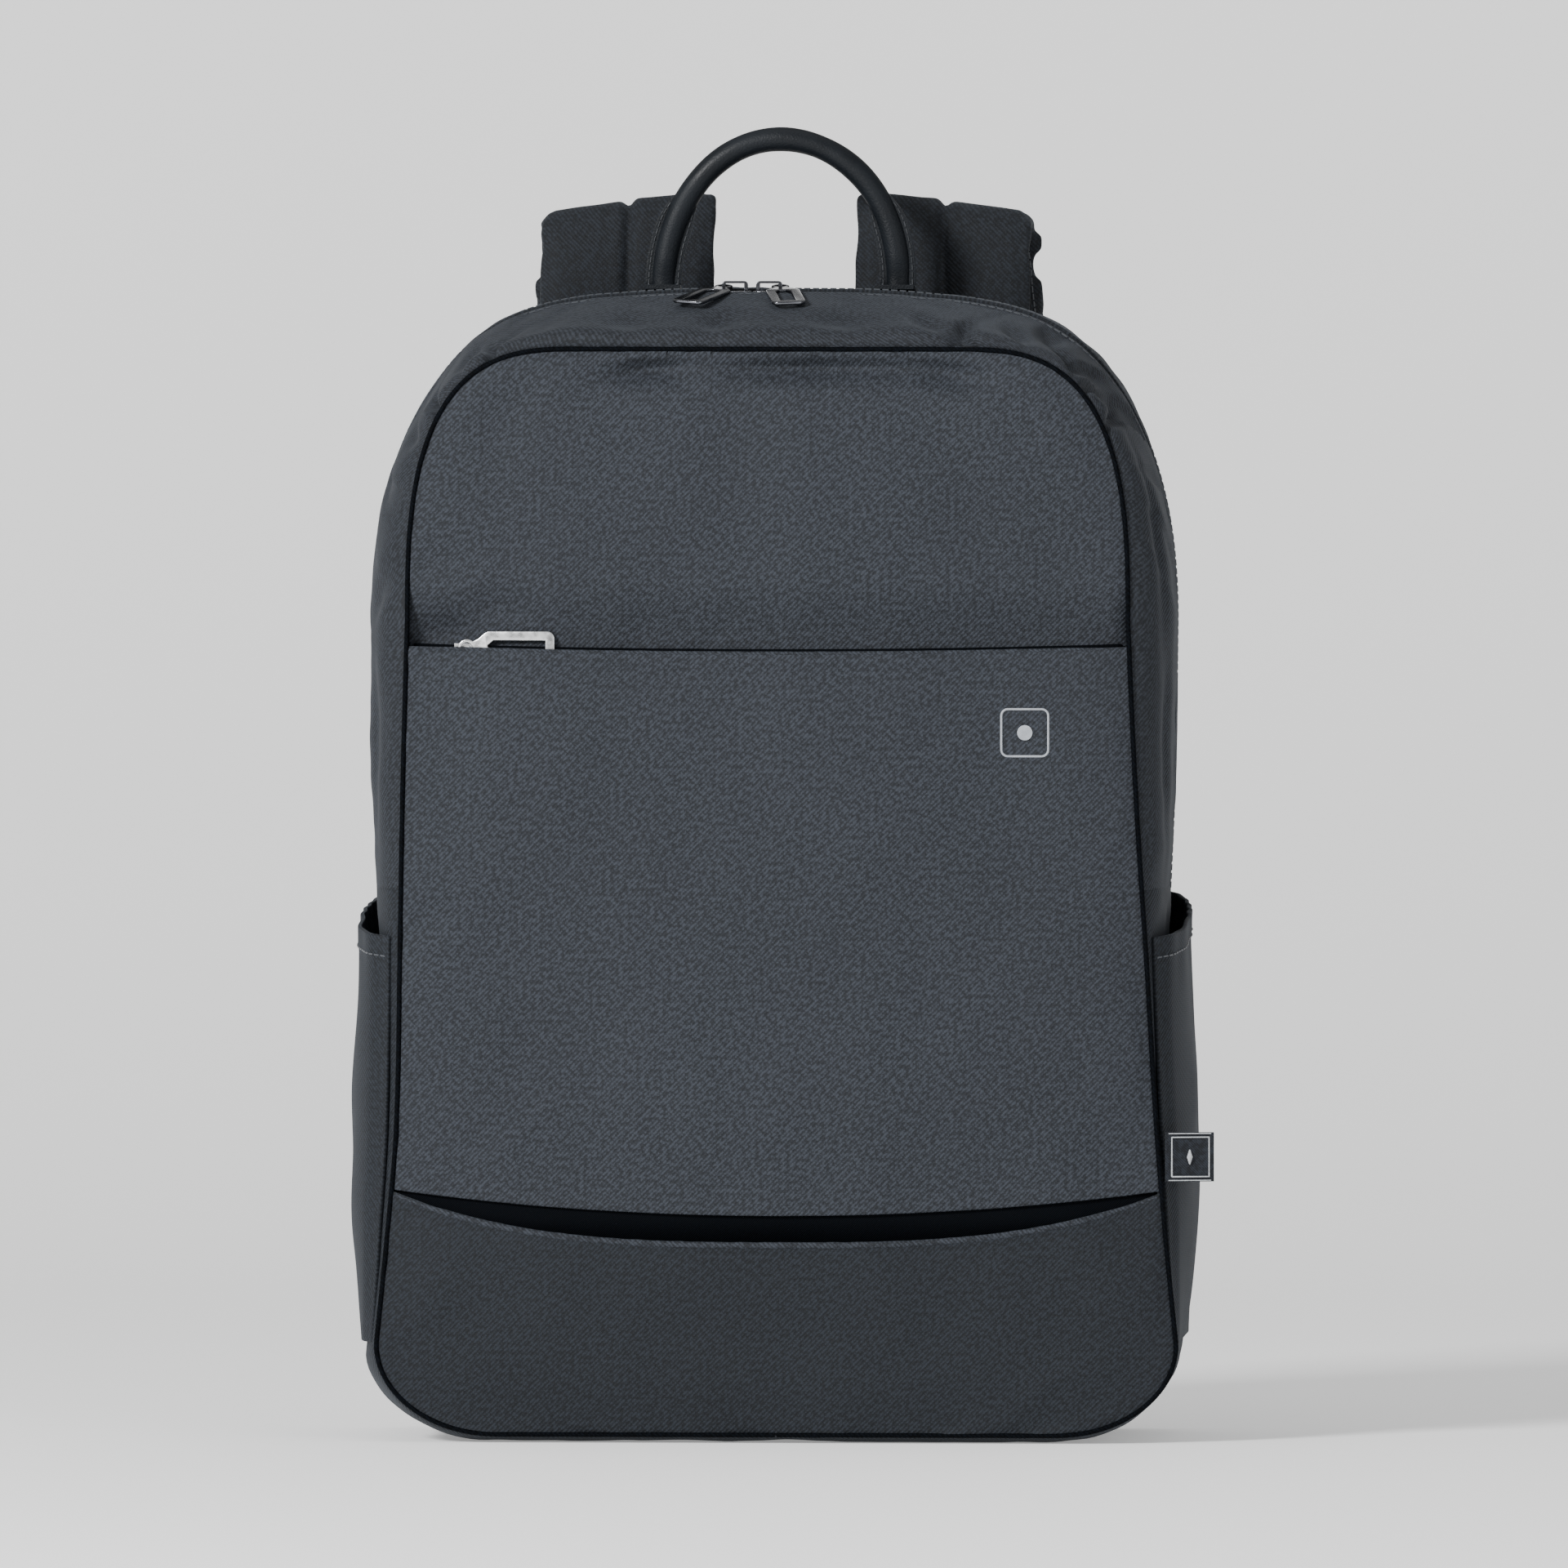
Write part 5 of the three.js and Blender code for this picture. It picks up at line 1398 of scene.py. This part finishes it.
def make_back(shape):
    inset = CLOTH + 2 * SEAM_GAP
    low = shape.wall(0, 1).z + inset
    high = shape.wall(1, 1).z - inset

    def rim(z):
        """Half width of the back seam's outline at a height."""
        near, far = 0.0, 1.0
        for _ in range(24):
            middle = (near + far) / 2
            if shape.wall(middle, 1).z < z:
                near = middle
            else:
                far = middle
        return shape.wall(near, 1).x - inset

    def skin(a, b):
        z = lerp(low, high, b)
        s = 2 * a - 1
        puff = BACK_CROWN * (1 - s * s) * (1 - abs(2 * b - 1) ** 4)
        channel = BACK_CHANNEL * bell(abs(s), BACK_CHANNEL_PLACE, BACK_CHANNEL_WIDTH)
        channel *= smooth(b, 0.06, 0.1) * smooth(1 - b, 0.06, 0.1)
        return Vector((s * rim(z), shape.depth_at(z) / 2 + puff - channel, z))

    panel = cloth_piece("back_pad", skin, 120, 160, look("padded_cloth"), BACK_PAD, 1.8)
    declare(panel, "padded_cloth", "back_panel")


def make_adjusters():
    for name in ("left", "right"):
        dress_node("strap_buckle_" + name, "buckle_plastic")
        dress_node("strap_webbing_" + name, "strap_webbing")


def make_tag():
    low, high = box_corners("side_tag")
    size = high.z - low.z
    start = Vector((low.x, low.y + 0.0006, (low.z + high.z) / 2))
    turn = math.atan2(high.y - low.y - 0.0012, high.x - low.x)
    spot = Matrix.Translation(start) @ Matrix.Rotation(turn, 4, "Z")
    bm = bmesh.new()
    bmesh.ops.create_cube(bm, size=1)
    bmesh.ops.scale(bm, vec=(size, 0.0011, size), verts=bm.verts)
    bmesh.ops.subdivide_edges(bm, edges=bm.edges, cuts=10, use_grid_fill=True)
    bmesh.ops.translate(bm, vec=(size / 2, 0, 0), verts=bm.verts)
    for vert in bm.verts:
        vert.co.y += 0.0006 * math.sin(vert.co.x / size * 3.2) - 0.0003
    bmesh.ops.transform(bm, matrix=spot, verts=bm.verts)
    tag = new_piece("seam_tag", bm, look("tag_cloth"), 40)
    round_edges(tag, "edge", 0.0003)
    declare(tag, "tag", "side_tag")
    make_tag_threads(spot, size)


def make_tag_threads(spot, size):
    """Plain thread lines on the tag: rows at its edges, a square and a leaf-like bar."""
    def line(name, spots, radius, sides, radii=None):
        points = [spot @ Vector((u * size, -0.00075, v * size)) for u, v in spots]
        return tube_along(name, points, radius, look("tag_thread"), sides, radii)

    square = ((0.13, -0.4), (0.9, -0.4), (0.9, 0.4), (0.13, 0.4), (0.13, -0.4))
    pieces = [line("tag_line", square, 0.00034, 1)]
    for v in (-0.475, 0.475):
        pieces.append(line("tag_line", ((0.06, v), (0.5, v), (0.94, v)), 0.0002, 1))
    leaf = [(0.5, 0.33 * share) for share in (-0.45, 0, 0.45)]
    pieces.append(line("tag_leaf", leaf, 0.0011, 2, [0.2, 1, 0.2]))
    declare(join_pieces("tag_threads", pieces), "tag")


def make_print(shape):
    """A generic printed mark: a thin square with round corners and a dot in it."""
    straight = MARK_HALF - MARK_CORNER
    outline = []
    for x, z, start in ((1, 1, 0), (-1, 1, 90), (-1, -1, 180), (1, -1, 270)):
        outline += arc((x * straight, z * straight), MARK_CORNER, start, start + 90, 6)

    def on_front(x, z, out):
        high = MARK_HEIGHT + z
        s = (MARK_ACROSS + x - shape.shift_at(high)) / shape.seam_half(high, PANEL_INSET)
        return placed(shape.front_dressed(s, high) + Vector((0, -out, 0)))

    ink = look("print_ink")
    points = [on_front(x, z, 0) for x, z in outline]
    line = tube_along("print_frame", points, MARK_LINE * MM, ink, 2, cyclic=True)
    bm = bmesh.new()
    spot = Matrix.Translation(on_front(0, 0, MARK_LINE)) @ Matrix.Rotation(math.radians(90), 4, "X")
    bmesh.ops.create_circle(bm, cap_ends=True, segments=28, radius=MARK_DOT * MM, matrix=spot)
    declare(join_pieces("printed_mark", [line, new_piece("print_dot", bm, ink)]), "body_cloth")


# Stage


def make_floor():
    """A floor that sweeps up behind the bag."""
    bm = bmesh.new()
    bmesh.ops.create_grid(bm, x_segments=1, y_segments=60, size=STAGE_HALF)
    for vert in bm.verts:
        run = vert.co.y - SWEEP_START
        if run > 0:
            turn = min(run / SWEEP_RADIUS, math.pi / 2)
            rest = max(run - SWEEP_RADIUS * math.pi / 2, 0)
            vert.co.z = SWEEP_RADIUS * (1 - math.cos(turn)) + rest
            vert.co.y = SWEEP_START + SWEEP_RADIUS * math.sin(turn)
    finish = Finish("pale_stage", roughness=0.9)
    finish.shader.inputs["Base Color"].default_value = (STAGE_WHITE, STAGE_WHITE, STAGE_WHITE, 1)
    finish.shader.inputs["Emission Color"].default_value = (1, 1, 1, 1)
    finish.shader.inputs["Emission Strength"].default_value = STAGE_GLOW
    new_piece("pale_floor", bm, finish.material)


def make_camera(stage):
    azimuth = math.radians(stage.azimuth)
    elevation = math.radians(stage.elevation)
    level = math.cos(elevation)
    away = Vector((math.sin(azimuth) * level, -math.cos(azimuth) * level, math.sin(elevation)))
    data = bpy.data.cameras.new("camera")
    data.lens = stage.lens
    camera = bpy.data.objects.new("camera", data)
    camera.location = Vector((stage.aim_x, MIDDLE_Y, stage.aim_z)) + away * stage.distance
    camera.rotation_euler = away.to_track_quat("Z", "Y").to_euler()
    bpy.context.scene.collection.objects.link(camera)
    bpy.context.scene.camera = camera


def make_stage():
    stage = bpy.context.scene.backpack_stage
    make_floor()
    make_camera(stage)
    soft_light("key", (-2.0, -2.8, 1.9), 0.8, stage.key_power)
    soft_light("fill", (1.9, -2.8, 0.9), 1.8, stage.fill_power)
    soft_light("top", (0, -0.2, 2.6), 1.8, stage.top_power)
    world = bpy.data.worlds.new("studio")
    world.use_nodes = True
    background = world.node_tree.nodes["Background"]
    background.inputs["Color"].default_value = (1, 1, 1, 1)
    background.inputs["Strength"].default_value = stage.world_strength
    bpy.context.scene.world = world


def soft_light(name, place, size, power):
    """A square light that faces the bag's middle."""
    data = bpy.data.lights.new(name, "AREA")
    data.shape = "SQUARE"
    data.size = size
    data.energy = power
    light = bpy.data.objects.new(name, data)
    light.location = place
    away = Vector(place) - Vector((0, 0, LIGHT_AIM_HEIGHT))
    light.rotation_euler = away.to_track_quat("Z", "Y").to_euler()
    bpy.context.scene.collection.objects.link(light)


# Properties


def length_property(name, description, default):
    return FloatProperty(name=name, description=description, default=default, unit="LENGTH", precision=4)


def colour_property(name, description, default):
    return FloatVectorProperty(
        name=name, description=description, default=default, subtype="COLOR", size=3, min=0, max=1)


def power_property(name, description, default):
    return FloatProperty(name=name, description=description, default=default, subtype="POWER")


class BackpackSizes(PropertyGroup):
    body_height: length_property("Body height", "Floor to the crest of the top", 0.421)
    body_half_width: length_property("Half width", "Middle to the fullest line of the side", 0.148)
    depth_low: length_property("Depth at the floor", "Front seam to back seam at the floor", 0.122)
    depth_top: length_property("Depth at the top", "Front seam to back seam at the top", 0.102)
    pocket_bulge: length_property("Pocket bulge", "How far a side pocket stands out", 0.010)
    strap_width: length_property("Strap width", "Width of a padded strap", 0.0675)
    strap_thickness: length_property("Strap thickness", "Thickness of a padded strap", 0.0095)


class BackpackColours(PropertyGroup):
    body_cloth: colour_property("Body cloth", "Front panels and front band", (0.0228, 0.0264, 0.0335))
    # Base cloth is the body cloth darkened: painted shade of the lower front and the base
    painted_shade_base_cloth: colour_property("Base cloth", "Lower front and base", (0.0112, 0.0137, 0.018))
    wall_cloth: colour_property("Wall cloth", "Sides and rear band", (0.0112, 0.0136, 0.0178))
    padded_cloth: colour_property("Padded cloth", "Straps and back", (0.009, 0.011, 0.0145))
    # The lining's near-black also stands for shade: painted on the seam cord as the seam's shadow line, and
    # on the front zip band as the slit's shadow line
    lining: colour_property("Lining", "Slip pocket, front zip band and cord", (0.0016, 0.0023, 0.0036))
    zip_tape: colour_property("Zip", "Zip tapes and coil", (0.007, 0.0085, 0.011))
    leather: colour_property("Leather", "Handle and its feet", (0.005, 0.0068, 0.0094))
    webbing: colour_property("Webbing", "Straps' webbing", (0.012, 0.0145, 0.0185))
    plastic: colour_property("Plastic", "Webbing adjusters", (0.006, 0.0065, 0.0075))
    dark_metal: colour_property("Dark metal", "Top sliders and pulls", (0.14, 0.145, 0.16))
    light_metal: colour_property("Light metal", "Front pocket's pull", (0.8, 0.81, 0.82))
    thread: colour_property("Thread", "Seam stitches", (0.032, 0.038, 0.048))
    tag: colour_property("Tag", "Ground of the woven tag", (0.012, 0.0145, 0.019))
    tag_thread: colour_property("Tag thread", "Light lines on the tag", (0.42, 0.44, 0.46))
    print_ink: colour_property("Print", "Printed mark on the front", (0.3, 0.32, 0.35))


class BackpackStage(PropertyGroup):
    azimuth: FloatProperty(name="Azimuth", description="Camera's turn to the right, in degrees", default=3.3)
    elevation: FloatProperty(name="Elevation", description="Camera's height angle, in degrees", default=1.6)
    distance: length_property("Distance", "Camera to the bag", 12.0)
    lens: FloatProperty(name="Lens", description="Focal length in millimetres", default=750.0)
    aim_x: length_property("Aim across", "Point that the picture centres on", MIDDLE_X + 0.003)
    aim_z: length_property("Aim height", "Point that the picture centres on", 0.2395)
    key_power: power_property("Key", "Power of the light on the left", 195)
    fill_power: power_property("Fill", "Power of the light on the right", 24)
    top_power: power_property("Top", "Power of the light above", 10)
    world_strength: FloatProperty(name="Surround", description="Strength of the white surround", default=0.36)


# Operators


class BAG_OT_walls(Operator):
    """Make the cloth bands round the bag and its side walls"""
    bl_idname = "bag.walls"
    bl_label = "Walls"
    bl_options = {"REGISTER", "UNDO"}

    def execute(self, context):
        shape = BagShape(context.scene.backpack_sizes)
        make_walls(shape)
        return {"FINISHED"}


class BAG_OT_front(Operator):
    """Make the front panels, the pocket slits and the cord edge"""
    bl_idname = "bag.front"
    bl_label = "Front"
    bl_options = {"REGISTER", "UNDO"}

    def execute(self, context):
        shape = BagShape(context.scene.backpack_sizes)
        make_front(shape)
        make_print(shape)
        return {"FINISHED"}


class BAG_OT_pockets(Operator):
    """Make the two open side pockets"""
    bl_idname = "bag.pockets"
    bl_label = "Side pockets"
    bl_options = {"REGISTER", "UNDO"}

    def execute(self, context):
        shape = BagShape(context.scene.backpack_sizes)
        make_side_pockets(shape)
        return {"FINISHED"}


class BAG_OT_back(Operator):
    """Make the padded back"""
    bl_idname = "bag.back"
    bl_label = "Back"
    bl_options = {"REGISTER", "UNDO"}

    def execute(self, context):
        shape = BagShape(context.scene.backpack_sizes)
        make_back(shape)
        return {"FINISHED"}


class BAG_OT_closures(Operator):
    """Make the zips, their sliders and pulls"""
    bl_idname = "bag.closures"
    bl_label = "Zips and pulls"
    bl_options = {"REGISTER", "UNDO"}

    def execute(self, context):
        shape = BagShape(context.scene.backpack_sizes)
        make_main_zip(shape)
        make_top_closures()
        make_pocket_closure()
        return {"FINISHED"}


class BAG_OT_handle(Operator):
    """Make the round handle and its feet"""
    bl_idname = "bag.handle"
    bl_label = "Handle"
    bl_options = {"REGISTER", "UNDO"}

    def execute(self, context):
        make_handle()
        return {"FINISHED"}


class BAG_OT_straps(Operator):
    """Make the shoulder straps with their webbing and adjusters"""
    bl_idname = "bag.straps"
    bl_label = "Straps"
    bl_options = {"REGISTER", "UNDO"}

    def execute(self, context):
        shape = BagShape(context.scene.backpack_sizes)
        for name, side in (("left", -1), ("right", 1)):
            make_strap(shape, name, side)
        make_adjusters()
        return {"FINISHED"}


class BAG_OT_tag(Operator):
    """Make the small woven tag on the right seam"""
    bl_idname = "bag.tag"
    bl_label = "Tag"
    bl_options = {"REGISTER", "UNDO"}

    def execute(self, context):
        make_tag()
        return {"FINISHED"}


class BAG_OT_stage(Operator):
    """Make the floor, the lights and the camera"""
    bl_idname = "bag.stage"
    bl_label = "Stage"
    bl_options = {"REGISTER", "UNDO"}

    def execute(self, context):
        make_stage()
        return {"FINISHED"}


class BAG_PT_panel(Panel):
    """Sizes, colours and steps of the backpack"""
    bl_label = "Backpack"
    bl_idname = "BAG_PT_panel"
    bl_space_type = "VIEW_3D"
    bl_region_type = "UI"
    bl_category = "Backpack"

    def draw(self, context):
        scene = context.scene
        for title, name, _ in GROUPS:
            group = getattr(scene, name)
            box = self.layout.box()
            box.label(text=title)
            for value in group.__annotations__:
                box.prop(group, value)
        for step in STEPS:
            self.layout.operator(step.bl_idname)


GROUPS = (
    ("Sizes", "backpack_sizes", BackpackSizes),
    ("Colours", "backpack_colours", BackpackColours),
    ("Stage", "backpack_stage", BackpackStage),
)
STEPS = (
    BAG_OT_stage, BAG_OT_walls, BAG_OT_front, BAG_OT_pockets, BAG_OT_back, BAG_OT_closures, BAG_OT_handle,
    BAG_OT_straps, BAG_OT_tag)


def register():
    for _, name, group in GROUPS:
        bpy.utils.register_class(group)
        setattr(bpy.types.Scene, name, PointerProperty(type=group))
    for step in STEPS:
        bpy.utils.register_class(step)
    bpy.utils.register_class(BAG_PT_panel)


def unregister():
    bpy.utils.unregister_class(BAG_PT_panel)
    for step in reversed(STEPS):
        bpy.utils.unregister_class(step)
    for _, name, group in reversed(GROUPS):
        delattr(bpy.types.Scene, name)
        bpy.utils.unregister_class(group)


def main():
    register()
    for step in STEPS:
        family, action = step.bl_idname.split(".")
        getattr(getattr(bpy.ops, family), action)()
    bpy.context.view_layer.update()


if __name__ == "__main__":
    main()
